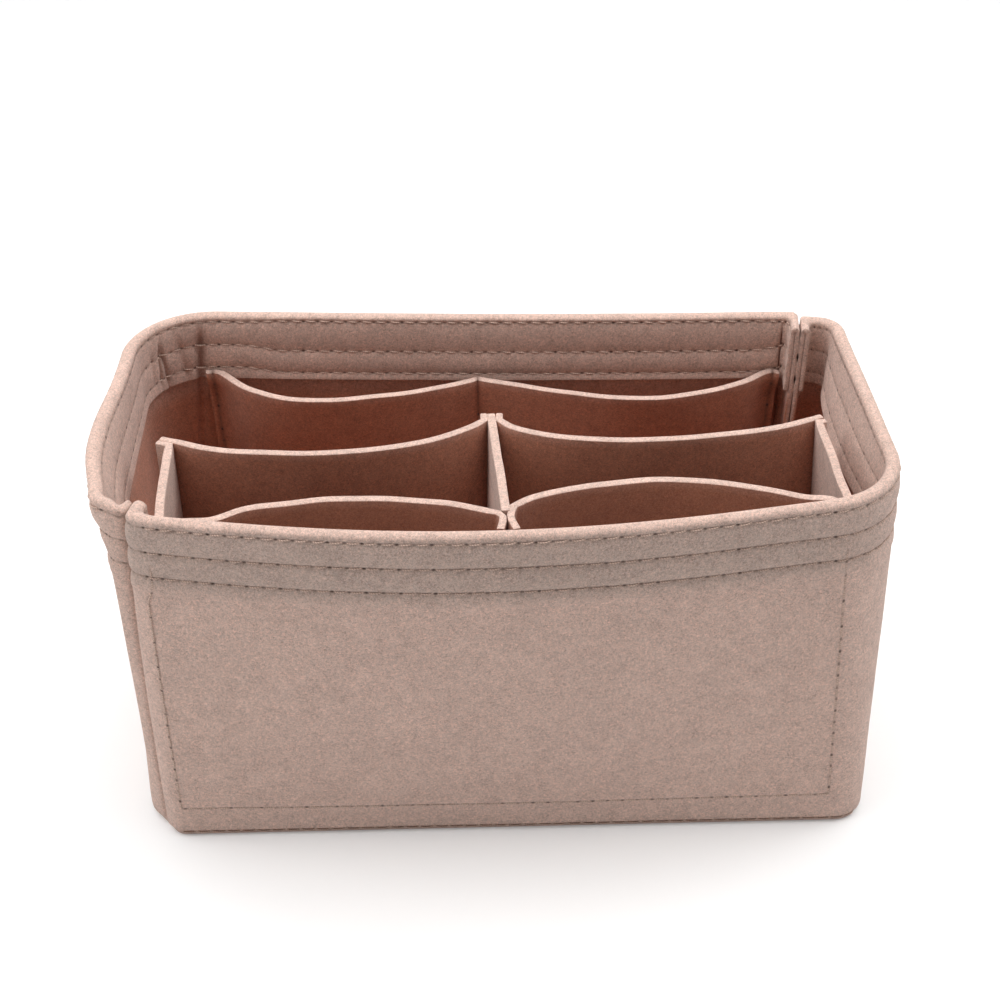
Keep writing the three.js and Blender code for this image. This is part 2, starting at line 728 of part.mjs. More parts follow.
// Upright thread on one face of a panel, at one of its path's stations
function uprightThreadGeometry(pathAt, station, sign, low, high) {
  const levels = panelHeights(high).filter((z) => z > low);
  const sections = [low, ...levels].map((z) => {
    const path = smoothPath(pathAt(z));
    const along = path[station + 1].clone().sub(path[station - 1]).normalize();
    const reach = (extra) => besidePath(path, sign * (felt / 2 + panelThreadOffset + extra))[station];
    const corner = (extra, side) => {
      const point = reach(extra).addScaledVector(along, (side * threadWidth) / 2);
      return new THREE.Vector3(point.x, point.y, z);
    };
    return [corner(0, -1), corner(0, 1), corner(threadThickness, 1), corner(threadThickness, -1)];
  });
  return loft(sections, 2);
}

// Thread that closes a wall seam, on the inner face of a strip's turned-in end
function wallSeamThreadGeometry(wall) {
  const clear = threadOffset + threadThickness + seamGap;
  const steps = [
    ...heights.filter((z) => z < settledHeight && z > wallBottom).map((z) => [z, felt + threadOffset]),
    [settledHeight, felt + threadOffset],
    [hemBottom - hemEdge, hemThickness + clear],
    ...[...rowHeights].reverse().map((z) => [z, hemThickness + clear]),
  ];
  const plan = planAt(wall.turned, height);
  const spread = threadWidth / (plan.farFlap - plan.bend);
  const sections = steps.map(([z, depth]) => {
    const corner = (share, extra) => onWall(
      wall, { stretch: 'endFlap', share: (1 + share * spread) / 2 }, z, depth + extra);
    return [corner(-1, 0), corner(1, 0), corner(1, threadThickness), corner(-1, threadThickness)];
  });
  return loft(sections, 2);
}

// Assembly
const insert = new THREE.Group();
function addPiece(name, geometry, colour) {
  const material = new THREE.MeshStandardMaterial({ color: colour, roughness: 0.95, metalness: 0 });
  const mesh = new THREE.Mesh(geometry, material);
  mesh.name = name;
  insert.add(mesh);
}
const addFelt = (name, geometry) => addPiece(name, geometry, feltColour);
const addThread = (name, geometry) => addPiece(name, geometry, threadColour);

const frontRight = { name: 'front_right', turned: false };
const backLeft = { name: 'back_left', turned: true };
const leftPocketPath = frontPocketPath(-1, leftPocketShares);
const rightPocketPath = frontPocketPath(1, rightPocketShares);
const leftMiddlePath = middlePath(-1, leftMiddleShares);
const rightMiddlePath = middlePath(1, rightMiddleShares);

addFelt('wall_front_right', wallGeometry(frontRight));
addFelt('wall_back_left', wallGeometry(backLeft));
addFelt('base_panel', baseGeometry());
addFelt('front_pocket_left', panelGeometry(leftPocketPath, boxTop));
addFelt('front_pocket_right', panelGeometry(rightPocketPath, boxTop));
addFelt('gusset_left', panelGeometry(gussetPath(-1), boxTop));
addFelt('gusset_right', panelGeometry(gussetPath(1), boxTop));
addFelt('middle_panel_left', panelGeometry(leftMiddlePath, boxTop));
addFelt('middle_panel_right', panelGeometry(rightMiddlePath, boxTop));
addFelt('divider', panelGeometry(dividerPath, boxTop));
addFelt('back_pocket_panel', panelGeometry(backPocketPath, backPocketTop));

for (const wall of [frontRight, backLeft]) {
  rowHeights.forEach((z, i) => {
    addThread(`hem_thread_${wall.name}_${i + 1}_outside`, rowThreadGeometry(wall, z, false));
    addThread(`hem_thread_${wall.name}_${i + 1}_inside`, rowThreadGeometry(wall, z, true));
  });
}
addThread('front_panel_thread', panelThreadGeometry(
  frontFace, (z) => boxFrontAt(-1, z) - felt / 2, (z) => boxFrontAt(1, z) - layer, height - frontSeamDrop));
addThread('back_panel_thread', panelThreadGeometry(
  backFace, (z) => backPocketLeftAt(z) + backPocketLap / 2, () => backPocketRight - backPocketLap / 2,
  height - backSeamDrop));

const seamLow = wallBottom + seamEndInset;
const seamHigh = boxTop - seamEndInset;
const lastStation = (pathAt) => spanStepCount * (pathAt(boxTop).length - 1);
const cornerStation = lastStation(gussetPath(1)) - spanStepCount;
addThread('back_pocket_center_thread', uprightThreadGeometry(
  backPocketPath, spanStepCount * backMiddlePointCount, -1, bottomRow, backPocketTop - seamEndInset));
addThread('wall_seam_thread_back', wallSeamThreadGeometry(frontRight));
addThread('wall_seam_thread_front', wallSeamThreadGeometry(backLeft));
addThread('corner_thread_left', uprightThreadGeometry(gussetPath(-1), cornerStation, 1, seamLow, seamHigh));
addThread('corner_thread_right', uprightThreadGeometry(gussetPath(1), cornerStation, -1, seamLow, seamHigh));
addThread('divider_thread_back', uprightThreadGeometry(
  leftMiddlePath, lastStation(leftMiddlePath) - spanStepCount, 1, seamLow, seamHigh));
addThread('divider_thread_front', uprightThreadGeometry(
  leftPocketPath, lastStation(leftPocketPath) - spanStepCount, -1, seamLow, seamHigh));
addThread('base_seam_thread', baseThreadGeometry());

// The origin is the middle of the insert's outline, on the floor
const outline = new THREE.Box3().setFromObject(insert);
const middle = outline.getCenter(new THREE.Vector3());
insert.position.set(-middle.x, -middle.y, -outline.min.z);

export default insert;
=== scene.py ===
import bpy
import math
import numpy as np
from mathutils import Matrix, Vector


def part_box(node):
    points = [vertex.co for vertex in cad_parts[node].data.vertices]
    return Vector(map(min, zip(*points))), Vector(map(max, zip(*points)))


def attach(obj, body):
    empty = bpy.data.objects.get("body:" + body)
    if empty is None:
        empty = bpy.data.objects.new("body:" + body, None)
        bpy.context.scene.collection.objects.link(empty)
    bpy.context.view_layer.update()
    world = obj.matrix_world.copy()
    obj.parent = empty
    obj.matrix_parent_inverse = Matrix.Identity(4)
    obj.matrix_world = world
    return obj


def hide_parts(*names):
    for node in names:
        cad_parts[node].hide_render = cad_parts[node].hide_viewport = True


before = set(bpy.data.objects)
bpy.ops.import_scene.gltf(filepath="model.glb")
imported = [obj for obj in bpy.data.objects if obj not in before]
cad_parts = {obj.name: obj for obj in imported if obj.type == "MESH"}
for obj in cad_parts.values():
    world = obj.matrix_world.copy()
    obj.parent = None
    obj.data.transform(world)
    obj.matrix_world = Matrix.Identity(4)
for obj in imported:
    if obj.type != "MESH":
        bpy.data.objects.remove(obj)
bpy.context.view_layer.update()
mm = 0.001
quarter = math.pi / 2

# Sizes in millimetres: X to the right, Y from front to back, Z up, the floor at zero
box = dict(rimLength=230.0, rimWidth=117.0, height=124.5, lengthTaper=1.5, widthTaper=2.0, floorShift=3.75,
           rimCorner=28.0, floorCorner=10.0, baseInset=1.2, cellsDrop=7.5, backPocketDrop=19.5)
felt = dict(thickness=2.5, hemLayer=2.15, hemDepth=4.4, foldInside=1.3, seamGap=0.3, endGap=1.1,
            liningGap=0.7, settling=4.0, edgeRound=0.3, spacing=1.275, panelSpacing=1.9, play=0.03)
# The proud values say how far a thread's middle stands out of the felt, as shares of its radius
stitch = dict(pitch=4.65, radius=0.24, dive=0.95, diveSharpness=3.2, slant=0.55, groove=0.6, grooveWidth=1.1,
              puff=0.32, scallop=0.3, innerShare=(0.75, 0.3), proud=0.8, innerProud=(0.3, -0.9), runProud=0.25,
              seamProud=0.7, seamMargin=3, wallSeamStart=6, baseGap=0.15, baseMargin=2.0, endShare=0.2,
              stations=(0.0, 0.18, 0.32, 0.42, 0.5, 0.58, 0.68, 0.82))
rows = dict(inset=2.6, spacing=8.4, margin=4.2, count=3, bottom=13.0, frontDrop=16.5, backDrop=24.0)
bows = dict(front=(11.8, -0.07, 0.87), back=(-5.5, -0.52, 1.48), roundness=1.2, fade=1.5)

height = box["height"]
thickness = felt["thickness"]
gap = felt["seamGap"]
layer = thickness + gap
wallBottom = thickness + gap
rowHeights = [height - rows["inset"] - i * rows["spacing"] for i in range(rows["count"])]
hemBottom = rowHeights[-1] - rows["margin"]
settledHeight = hemBottom - felt["settling"]
boxTop = height - box["cellsDrop"]
backPocketTop = height - box["backPocketDrop"]
smallStep = 1e-4
farAway = 50.0  # so far from a line of stitches nothing of it shows
edgeShares = (0, 0.3, 0.7)  # closer levels and stations at a rounded edge, as shares of its radius


def mix(a, b, share):
    return a + (b - a) * share


# Share from 0 to 1 between two places, without a corner at either
def smoothShare(value, start, full):
    share = np.clip((np.asarray(value, float) - start) / (full - start), 0, 1)
    return share * share * (3 - 2 * share)


def unit(vectors):
    return vectors / np.linalg.norm(vectors, axis=1)[:, None]


def leftOf(along):
    return np.stack([-along[:, 1], along[:, 0]], 1)


# Values of a table at places along its run, row by row
def sample(places, run, table):
    return np.stack([np.interp(places, run, column) for column in table.T], 1)


def halfLengthAt(z):
    return box["rimLength"] / 2 - mix(box["lengthTaper"] / 2, 0, z / height)


def halfWidthAt(z):
    return box["rimWidth"] / 2 - mix(box["widthTaper"] / 2, 0, z / height)


def shiftAt(z):
    return mix(box["floorShift"], 0, z / height)


# A depth that is the felt's thickness on the wall and another one up in the hem
def settledDepth(z, hemDepth):
    return mix(thickness, hemDepth, min(1, max(0, (z - settledHeight) / felt["settling"])))


def liningAt(z):
    return settledDepth(z, felt["hemDepth"])


def bendAt(z):
    return mix(thickness, felt["hemDepth"], z / height) + felt["foldInside"]


def bowAt(turned, x, z):
    depth, middle, span = bows["back"] if turned else bows["front"]
    along = (x / (box["rimLength"] / 2) - middle) / span
    fade = math.sin(quarter * z / height) ** bows["fade"]
    return depth * np.maximum(0, 1 - along * along) ** bows["roundness"] * fade


# The two wall strips: each starts at a seam, runs along its long wall, round a corner and along its side.
# Pairs are the values at the floor and at the rim.
frontSeam = dict(inset=(13.8, 23.1), arc=(5.5, 12.0), turn=(46.0, 12.0), flap=(6.0, 8.0), farFlap=(6.4, 9.3),
                 recess=(0.5, 3.2), backArc=(12.0, 4.6, 8.0), backArcFade=(6.0, 4.0), squeeze=1.0,
                 farSqueeze=0.6, square=4.5)
backSeam = dict(inset=(19.7, 20.4), arc=(20.0, 20.0), turn=(8.0, 8.0), flap=(12.5, 12.5),
                farFlap=(12.5, 12.5), recess=(0.5, 2.5), backArc=(11.7, 8.6), squeeze=0.68,
                farSqueeze=0.68, square=14)
# The right wall leans inwards below its rim: how far, and its share at each height
lean = dict(depth=4.6, roundness=0.5, heights=(0.0, 30.0, 100.0, 121.0), shares=(0.0, 0.35, 1.0, 0.0))
# The left wall's rim flares outwards, most of all beyond its middle
rimFlare = dict(depth=3.8, peak=1.6, roundness=1.15, fade=9.0)
# Below its rim the left wall is tucked in towards the front seam; onArc is the share half way round the arc
tuck = dict(depth=1.8, before=(34.0, 5.0), onArc=0.8, heights=(8.0, 45.0, 108.0, 120.0))
# The left wall's turned-in end stands a little lower than its rim
sink = dict(depth=1.3, after=4.0)
# On the back wall the hem's rows wander a little up or down: at each height, and how far
wander = dict(heights=(100.9, 105.1, 113.5, 121.9, 124.5), shifts=(0.0, -1.8, -2.0, 0.6, 0.0), start=12.0,
              end=10.0)


def sideAt(turned, z):
    return halfLengthAt(z) + (-shiftAt(z) if turned else shiftAt(z))


def seamPlan(turned, z):
    sizes = backSeam if turned else frontSeam
    rise = z / height
    arc, inset, flap, farFlap = (mix(*sizes[key], rise) for key in ("arc", "inset", "flap", "farFlap"))
    turn = math.radians(mix(*sizes["turn"], rise))
    lineX = inset - sideAt(not turned, z)
    arcCentre = np.array([lineX, arc - halfWidthAt(z)])
    inwards = np.array([math.sin(turn), math.cos(turn)])
    along = np.array([math.cos(turn), -math.sin(turn)])
    place = arcCentre - inwards * arc + along * (-gap / 2 - bendAt(z))
    return dict(arc=arc, turn=turn, flap=flap, farFlap=farFlap, lineX=lineX, arcCentre=arcCentre,
                inwards=inwards, along=along, place=place)


def backArcAt(turned, rise):
    if not turned:
        return mix(*backSeam["backArc"], rise)
    low, middle, top = frontSeam["backArc"]
    lowFade, topFade = frontSeam["backArcFade"]
    return middle + (top - middle) * rise ** topFade + (low - middle) * (1 - rise) ** lowFade


def onArc(centre, radius, turn):
    return np.stack([centre[0] + radius * np.cos(turn), centre[1] + radius * np.sin(turn)], 1)


def besideSeam(seam, sign, outwards, inwards):
    inwards = np.atleast_1d(inwards)[:, None]
    return sign * seam["place"] + seam["along"] * (gap / 2 + outwards) + sign * inwards * seam["inwards"]


# Outer face of a strip at a height, at the dense stations
def stripFace(turned, z, shift):
    rise = z / height
    start, other = seamPlan(turned, z), seamPlan(not turned, z)
    recess = mix(*(frontSeam if turned else backSeam)["recess"], rise)
    arc, bend = backArcAt(turned, rise), bendAt(z)
    line, side = halfWidthAt(z), sideAt(turned, z)
    corner = mix(box["floorCorner"], box["rimCorner"], rise)
    centre = besideSeam(other, -1, bend, recess + arc)[0]
    s = {name: shares + shift for name, shares in stationShares.items()}
    parts = [
        besideSeam(start, 1, 0, mix(start["flap"], bend, s["startFlap"])),
        onArc(besideSeam(start, 1, bend, bend)[0], bend, (2 + s["startBend"]) * quarter - start["turn"]),
        onArc(start["arcCentre"], start["arc"], 3 * quarter - (1 - s["startArc"]) * start["turn"]),
        np.stack([mix(start["lineX"], side - corner, s["line"]), np.full(len(s["line"]), -line)], 1),
        onArc((side - corner, corner - line), corner, (3 + s["corner"]) * quarter),
        np.stack([mix(side, centre[0] + arc, s["side"]), mix(corner - line, centre[1], s["side"])], 1),
        onArc(centre, arc, s["backArc"] * (quarter - other["turn"])),
        onArc(besideSeam(other, -1, bend, recess + bend)[0], bend,
              (1 + s["endBend"]) * quarter - other["turn"]),
        besideSeam(other, -1, 0, recess + mix(bend, other["farFlap"] - recess, s["endFlap"])),
    ]
    points = np.concatenate(parts)
    far = np.concatenate([shares if name == "side" else shares * 0 + (name in farStretches)
                          for name, shares in s.items()])
    points[:, 1] += mix(-bowAt(turned, points[:, 0], z), bowAt(not turned, -points[:, 0], z), far)
    return points


stationCounts = dict(startFlap=40, startBend=30, startArc=30, line=620, corner=160, side=240, backArc=70,
                     endBend=30, endFlap=40)
farStretches = ("backArc", "endBend", "endFlap")
stationShares = {name: np.arange(count + (name == "endFlap")) / count
                 for name, count in stationCounts.items()}
stationStarts = dict(zip(stationCounts, np.cumsum([0] + list(stationCounts.values()))))
stripCache = {}


def stripRow(turned, z):
    key = (turned, round(z, 4))
    if key not in stripCache:
        along = stripFace(turned, z, smallStep) - stripFace(turned, z, -smallStep)
        sign = -1 if turned else 1
        stripCache[key] = (stripFace(turned, z, 0) * sign, leftOf(unit(along)) * sign)
    return stripCache[key]


def runLength(points):
    return np.concatenate([[0], np.cumsum(np.linalg.norm(np.diff(points, axis=0), axis=1))])


stripRun = {turned: runLength(stripRow(turned, rowHeights[-1])[0]) for turned in (False, True)}
stripMark = {turned: {name: run[i] for name, i in stationStarts.items()} for turned, run in stripRun.items()}


# At each station: how thin the strip is squeezed, and how far the outer face of a turned-in bend is
# pressed out towards a square corner, as a share of the bend's radius
def seamShape(turned):
    squeeze, square = [], []
    for name, share in stationShares.items():
        atStart = name.startswith("start")
        turnedIn = {"Flap": share * 0 + 1, "Bend": 1 - share if atStart else share}.get(name[-4:], share * 0)
        seam = backSeam if atStart == turned else frontSeam
        squeeze.append(1 + (seam["squeeze" if atStart else "farSqueeze"] - 1) * turnedIn)
        power = seam["square"]
        bent = (np.cos(quarter * share) ** power + np.sin(quarter * share) ** power) ** (-1 / power) - 1
        square.append(bent if name.endswith("Bend") else share * 0)
    return np.concatenate(squeeze), np.concatenate(square)


seamShapes = {turned: seamShape(turned) for turned in (False, True)}


# How far a side wall stands in from its plan
def leanAt(turned, run, z):
    marks = stripMark[turned]
    along = np.clip((run - marks["side"]) / (marks["backArc"] - marks["side"]), 0, 1)
    if not turned:
        shares = np.interp(z, lean["heights"], lean["shares"])
        return lean["depth"] * np.sin(math.pi * along) ** lean["roundness"] * shares
    across = np.maximum(0, np.sin(math.pi * along ** rimFlare["peak"])) ** rimFlare["roundness"]
    start, full = (marks["backArc"] - length for length in tuck["before"])
    places = (start, full, (marks["backArc"] + marks["endBend"]) / 2, marks["endBend"])
    tucked = smoothShare(np.interp(run, places, (0, 1, tuck["onArc"], 0)), 0, 1)
    tucked = tucked * np.interp(z, tuck["heights"], (0, 1, 1, 0))
    return tuck["depth"] * tucked - rimFlare["depth"] * across * (z / height) ** rimFlare["fade"]


# How far a place on a strip stands above or below its even height
def riseAt(turned, run, z):
    if not turned:
        return run * 0
    marks = stripMark[True]
    upHem = max(0, (z - hemBottom) / (height - hemBottom))
    ending = np.clip((run - marks["endBend"]) / sink["after"], 0, 1) * upHem
    onBack = np.clip(np.minimum(run / wander["start"], (marks["corner"] - run) / wander["end"]) - 1, 0, 1)
    return onBack * np.interp(z, wander["heights"], wander["shifts"]) - sink["depth"] * ending


# Points of a strip so far along it, at a height, and so far in from its outer face
def onStrip(turned, run, z, depth):
    run = np.atleast_1d(run)
    place, inwards = (sample(run, stripRun[turned], table) for table in stripRow(turned, z))
    squeeze, square = (np.interp(run, stripRun[turned], values) for values in seamShapes[turned])
    depth = np.broadcast_to(np.reshape(depth, -1), run.shape)
    pressed = square * bendAt(z) * np.maximum(0, 1 - (depth / liningAt(z)) ** 2)
    reach = depth * squeeze - pressed + leanAt(turned, run, z)
    return np.column_stack([place + unit(inwards) * reach[:, None], z + riseAt(turned, run, z)])


# The front or back wall's face at a place along the length
def longFace(turned, x, z, depth):
    sign = -1 if turned else 1
    line, corner = halfWidthAt(z), mix(box["floorCorner"], box["rimCorner"], z / height)
    beyond = sign * x - (sideAt(turned, z) - corner)
    bow = bowAt(turned, sign * x, z)
    if beyond > 0:
        reach = math.sqrt(max(0, (corner - depth) ** 2 - beyond ** 2))
        return sign * (corner - line - reach - bow)
    before, after = (bowAt(turned, sign * x + step, z) for step in (-thickness, thickness))
    slope = (after - before) / (2 * thickness)
    return sign * (depth * math.hypot(1, slope) - line - bow)


# Plan of the box at the floor, from every fifth station of both strips' outer faces
def feltOutline(inset):
    kept = slice(stationStarts["startArc"], stationStarts["endBend"], 5)
    rowsAtFloor = [stripRow(turned, 0) for turned in (False, True)]
    return np.concatenate([(face + normal * inset)[kept] for face, normal in rowsAtFloor])


# The middle of the insert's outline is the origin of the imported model
ownBase = feltOutline(box["baseInset"])
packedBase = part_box("base_panel")
middle = np.array([(packedBase[0][i] + packedBase[1][i]) / 2 / mm
                   - (ownBase[:, i].min() + ownBase[:, i].max()) / 2 for i in (0, 1)] + [0.0])


def addObject(name, data):
    newObject = bpy.data.objects.new(name, data)
    bpy.context.scene.collection.objects.link(newObject)
    return newObject


# Mesh object at the origin from points in millimetres
def makePiece(name, points, faces, material, uv):
    mesh = bpy.data.meshes.new(name)
    mesh.from_pydata(((np.asarray(points) + middle) * mm).tolist(), [], [list(map(int, f)) for f in faces])
    piece = addObject(name, mesh)
    mesh.materials.append(material)
    loops = np.zeros(len(mesh.loops), int)
    mesh.loops.foreach_get("vertex_index", loops)
    for uvName, values in uv.items():
        uvLayer = mesh.uv_layers.new(name=uvName)
        uvLayer.data.foreach_set("uv", (np.asarray(values, float)[loops] * mm).ravel())
    mesh.polygons.foreach_set("use_smooth", [True] * len(mesh.polygons))
    mesh.update()
    return piece


# Faces of a closed sheet: an outer grid, then an inner grid, joined round their borders
def sheetFaces(down, across):
    outer = np.arange(down * across).reshape(down, across)
    inner = outer + down * across
    quads = []
    for grid, flip in ((outer, False), (inner, True)):
        a, b, c, d = grid[:-1, :-1], grid[:-1, 1:], grid[1:, 1:], grid[1:, :-1]
        ring = (a, b, c, d) if not flip else (d, c, b, a)
        quads.append(np.stack([x.ravel() for x in ring], 1))
    for o, i in ((outer[0], inner[0]), (outer[-1][::-1], inner[-1][::-1]),
                 (outer[::-1, 0], inner[::-1, 0]), (outer[:, -1], inner[:, -1])):
        quads.append(np.stack([o[:-1], i[:-1], i[1:], o[1:]], 1))
    return np.concatenate(quads)


def turnOutwards(points, faces):
    a, b, c, d = (np.asarray(points)[faces[:, i]] for i in range(4))
    volume = np.einsum("ij,ij->i", a, np.cross(b, c)).sum() + np.einsum("ij,ij->i", a, np.cross(c, d)).sum()
    return faces if volume > 0 else faces[:, ::-1]


# Faces of a closed body made of equal rings, with a cap on the first and the last ring
def ringFaces(points, count):
    grid = np.arange(len(points)).reshape(-1, count)
    beside = np.roll(grid, -1, axis=1)
    faces = np.stack([grid[:-1].ravel(), beside[:-1].ravel(), beside[1:].ravel(), grid[1:].ravel()], 1)
    turned = turnOutwards(points, faces)
    step = 1 if turned[0][0] == faces[0][0] else -1
    return [*turned, grid[0][::-step], grid[-1][::step]]


# Slow uneven swell of soft felt, about -1 to 1
def ripple(u, v, seed):
    swell = np.sin(u / 9.7 + seed) * np.sin(v / 13.1 + 2.3 * seed)
    swell = swell + 0.6 * np.sin(u / 4.3 + v / 17.0 + 1.7 * seed) * np.sin(v / 6.1 + seed)
    return (swell + 0.5 * np.sin(u / 23.0 - v / 31.0 + 3.1 * seed)) / (1 + 0.6 + 0.5)


# Materials
# inside, hem, shadow and hole are painted shade: deep inside the box, on the front hem, in creases, seams and
# front pockets, and in the needle holes
feltLook = dict(colour=(0.700, 0.472, 0.385), grey=(0.545, 0.420, 0.370), pale=(0.930, 0.700, 0.600),
                dark=(0.250, 0.150, 0.110), hole=(0.090, 0.052, 0.040), inside=(0.78, 0.46, 0.33),
                shadow=(0.19, 0.060, 0.028), hem=(0.80, 0.84, 0.85), low=0.56, high=1.38, speckle=0.8,
                groundSpread=0.26, greySpread=0.3, greyShare=0.5, seamShade=0.4, holeDepth=1.5,
                puckerDepth=0.9, roughness=0.96, specular=0.1, sheen=0.2, sheenRoughness=0.6, bump=0.6,
                bumpDistance=0.0004)
# twist and around are the angles of the thread's ply per unit of its UV values along and around
threadLook = dict(colour=(0.700, 0.520, 0.430), dark=(0.46, 0.32, 0.26), twist=9000.0, around=6283.2,
                  roughness=0.8, specular=0.25, bump=0.4, bumpDistance=0.0001)
# Hairs of the felt as (scale, curl, width), and the noises of its ground as (scale, detail, roughness)
hairs = dict(long=(850, 2.2, 0.055), fine=(1400, 1.6, 0.07), dark=(1000, 2.0, 0.045))
noises = dict(grain=(2300, 2.0, 0.6), coarse=(1100, 2.0, 0.6), clouds=(95, 3.0, 0.55), patch=(260, 2.0, 0.6),
              grey=(1300, 2.0, 0.55))
blends = dict(coarse=0.45, clouds=0.12, hair=0.45, patch=0.35)
speckRange = dict(start=0.15, gain=1.35)
holeSize = dict(length=1.1, width=0.75, trough=0.9, shade=0.7, core=0.55, faintest=0.25, puckerReach=3.4,
                holeFall=1.5, shadeFall=1.4)


# An input takes another node's output, or a plain value or colour
def feed(tree, socket, value):
    if isinstance(value, bpy.types.NodeSocket):
        tree.links.new(value, socket)
    else:
        socket.default_value = (*value, 1.0) if socket.type == "RGBA" else value


def addNode(tree, kind, inputs, **settings):
    node = tree.nodes.new("ShaderNode" + kind)
    for key, value in settings.items():
        setattr(node, key, value)
    for key, value in inputs.items():
        feed(tree, node.inputs[key], value)
    return node


def openGroup(name, inputs):
    group = bpy.data.node_groups.new(name, "ShaderNodeTree")
    for socketName, kind in inputs.items():
        group.interface.new_socket(name=socketName, in_out="INPUT", socket_type="NodeSocket" + kind)
    return group, group.nodes.new("NodeGroupInput").outputs


def closeGroup(group, values):
    for socketName in values:
        group.interface.new_socket(name=socketName, in_out="OUTPUT", socket_type="NodeSocketFloat")
    outputs = group.nodes.new("NodeGroupOutput").inputs
    for socketName, value in values.items():
        feed(group, outputs[socketName], value)
    return group


def calculate(tree, operation, *values, clamp=False):
    return addNode(tree, "Math", dict(enumerate(values)), operation=operation, use_clamp=clamp).outputs[0]


def times(tree, first, second, clamp=False):
    return calculate(tree, "MULTIPLY", first, second, clamp=clamp)


def minus(tree, first, second, clamp=False):
    return calculate(tree, "SUBTRACT", first, second, clamp=clamp)


# Falls from 1 to 0 over a reach
def falloff(tree, value, reach):
    return minus(tree, 1.0, calculate(tree, "DIVIDE", value, reach, clamp=True), clamp=True)


def average(tree, first, second, share):
    return calculate(tree, "ADD", times(tree, first, 1 - share), times(tree, second, share))


# The middle of a noise's range, spread out from 0 to 1
def spreadOut(tree, value, width):
    return calculate(tree, "DIVIDE", minus(tree, value, 0.5 - width / 2), width, clamp=True)


def noiseValue(tree, vector, scale, detail, roughness, curl=0.0):
    values = {"Vector": vector, "Scale": scale, "Detail": detail, "Roughness": roughness, "Distortion": curl}
    return addNode(tree, "TexNoise", values).outputs["Fac"]


# Thin curly line where a noise passes its middle: one hair of the felt
def hair(tree, vector, scale, curl, width):
    away = calculate(tree, "ABSOLUTE", minus(tree, noiseValue(tree, vector, scale, 1.0, 0.5, curl), 0.5))
    return falloff(tree, away, width)


def mixColour(tree, factor, first, second, blend="MIX"):
    inputs = {0: factor, 6: first, 7: second}
    return addNode(tree, "Mix", inputs, data_type="RGBA", blend_type=blend).outputs[2]


# Matted fibres of pressed felt: pale and dark hairs over a mottled ground
def makeFibreGroup():
    group, inputs = openGroup("mattedFibres", {"Position": "Vector", "Speckle": "Float"})
    position, strength = inputs["Position"], inputs["Speckle"]
    elsewhere = addNode(group, "VectorMath", {0: position, 1: (0.31, 0.17, 0.23)}, operation="ADD").outputs[0]
    pale = [hair(group, position, *hairs[key]) for key in ("long", "fine")]
    paleHair = calculate(group, "MAXIMUM", *pale)
    darkHair = hair(group, elsewhere, *hairs["dark"])
    grain, clouds = (noiseValue(group, position, *noises[key]) for key in ("grain", "clouds"))
    coarse, patch, grey = (noiseValue(group, elsewhere, *noises[key]) for key in ("coarse", "patch", "grey"))
    speck = times(group, minus(group, patch, speckRange["start"]), speckRange["gain"], clamp=True)
    return closeGroup(group, {
        "Pale": times(group, times(group, paleHair, speck), strength, clamp=True),
        "Dark": times(group, times(group, darkHair, minus(group, 1.0, speck)), strength, clamp=True),
        "Ground": average(group, average(group, grain, coarse, blends["coarse"]), clouds, blends["clouds"]),
        "Grey": grey,
        "Height": average(group, average(group, grain, paleHair, blends["hair"]), patch, blends["patch"]),
    })


# Needle holes along a line of stitches, the groove that the thread pulls, and the shade beside it; the holes'
# mask carries painted shade as well as their relief
def makeHoleGroup():
    group, inputs = openGroup("needleHoles", {"Along": "Float", "Across": "Float"})
    stitches = calculate(group, "DIVIDE", inputs["Along"], stitch["pitch"] * mm)
    fromMiddle = minus(group, calculate(group, "FRACT", stitches), 0.5)
    fromHole = times(group, calculate(group, "ABSOLUTE", fromMiddle), stitch["pitch"])
    across = times(group, calculate(group, "ABSOLUTE", inputs["Across"]), 1 / mm)
    oneStitch = calculate(group, "FLOOR", stitches)
    uneven = addNode(group, "TexWhiteNoise", {"W": oneStitch}, noise_dimensions="1D")
    faintest = holeSize["faintest"]
    strength = calculate(group, "ADD", times(group, uneven.outputs["Value"], 1 - faintest), faintest)
    squares = [calculate(group, "POWER", calculate(group, "DIVIDE", value, holeSize[key] / 2), 2.0)
               for value, key in ((fromHole, "length"), (across, "width"))]
    distance = calculate(group, "SQRT", calculate(group, "ADD", *squares))
    inHole = minus(group, 1.0, minus(group, distance, holeSize["core"], clamp=True), clamp=True)
    pulled = minus(group, 1.0, calculate(group, "DIVIDE", fromHole, holeSize["puckerReach"]))
    beside = falloff(group, across, holeSize["shade"])
    return closeGroup(group, {
        "Hole": times(group, calculate(group, "POWER", inHole, holeSize["holeFall"]), strength),
        "Pucker": times(group, falloff(group, across, holeSize["trough"]), pulled),
        "Shade": calculate(group, "POWER", beside, holeSize["shadeFall"]),
    })


fibreGroup = makeFibreGroup()
holeGroup = makeHoleGroup()


# The first two parts of a UV layer's value
def uvOf(tree, uvName):
    uv = addNode(tree, "UVMap", {}, uv_map=uvName).outputs[0]
    return addNode(tree, "SeparateXYZ", {0: uv}).outputs[:2]


def newMaterial(name, inputs):
    material = bpy.data.materials.new(name)
    material.use_nodes = True
    tree = material.node_tree
    shader = tree.nodes["Principled BSDF"]
    for key, value in inputs.items():
        feed(tree, shader.inputs[key], value)
    return material, tree, shader


def finishSurface(tree, shader, colour, relief, look):
    inputs = {"Strength": look["bump"], "Distance": look["bumpDistance"], "Height": relief}
    bump = addNode(tree, "Bump", inputs)
    feed(tree, shader.inputs["Normal"], bump.outputs[0])
    feed(tree, shader.inputs["Base Color"], colour)


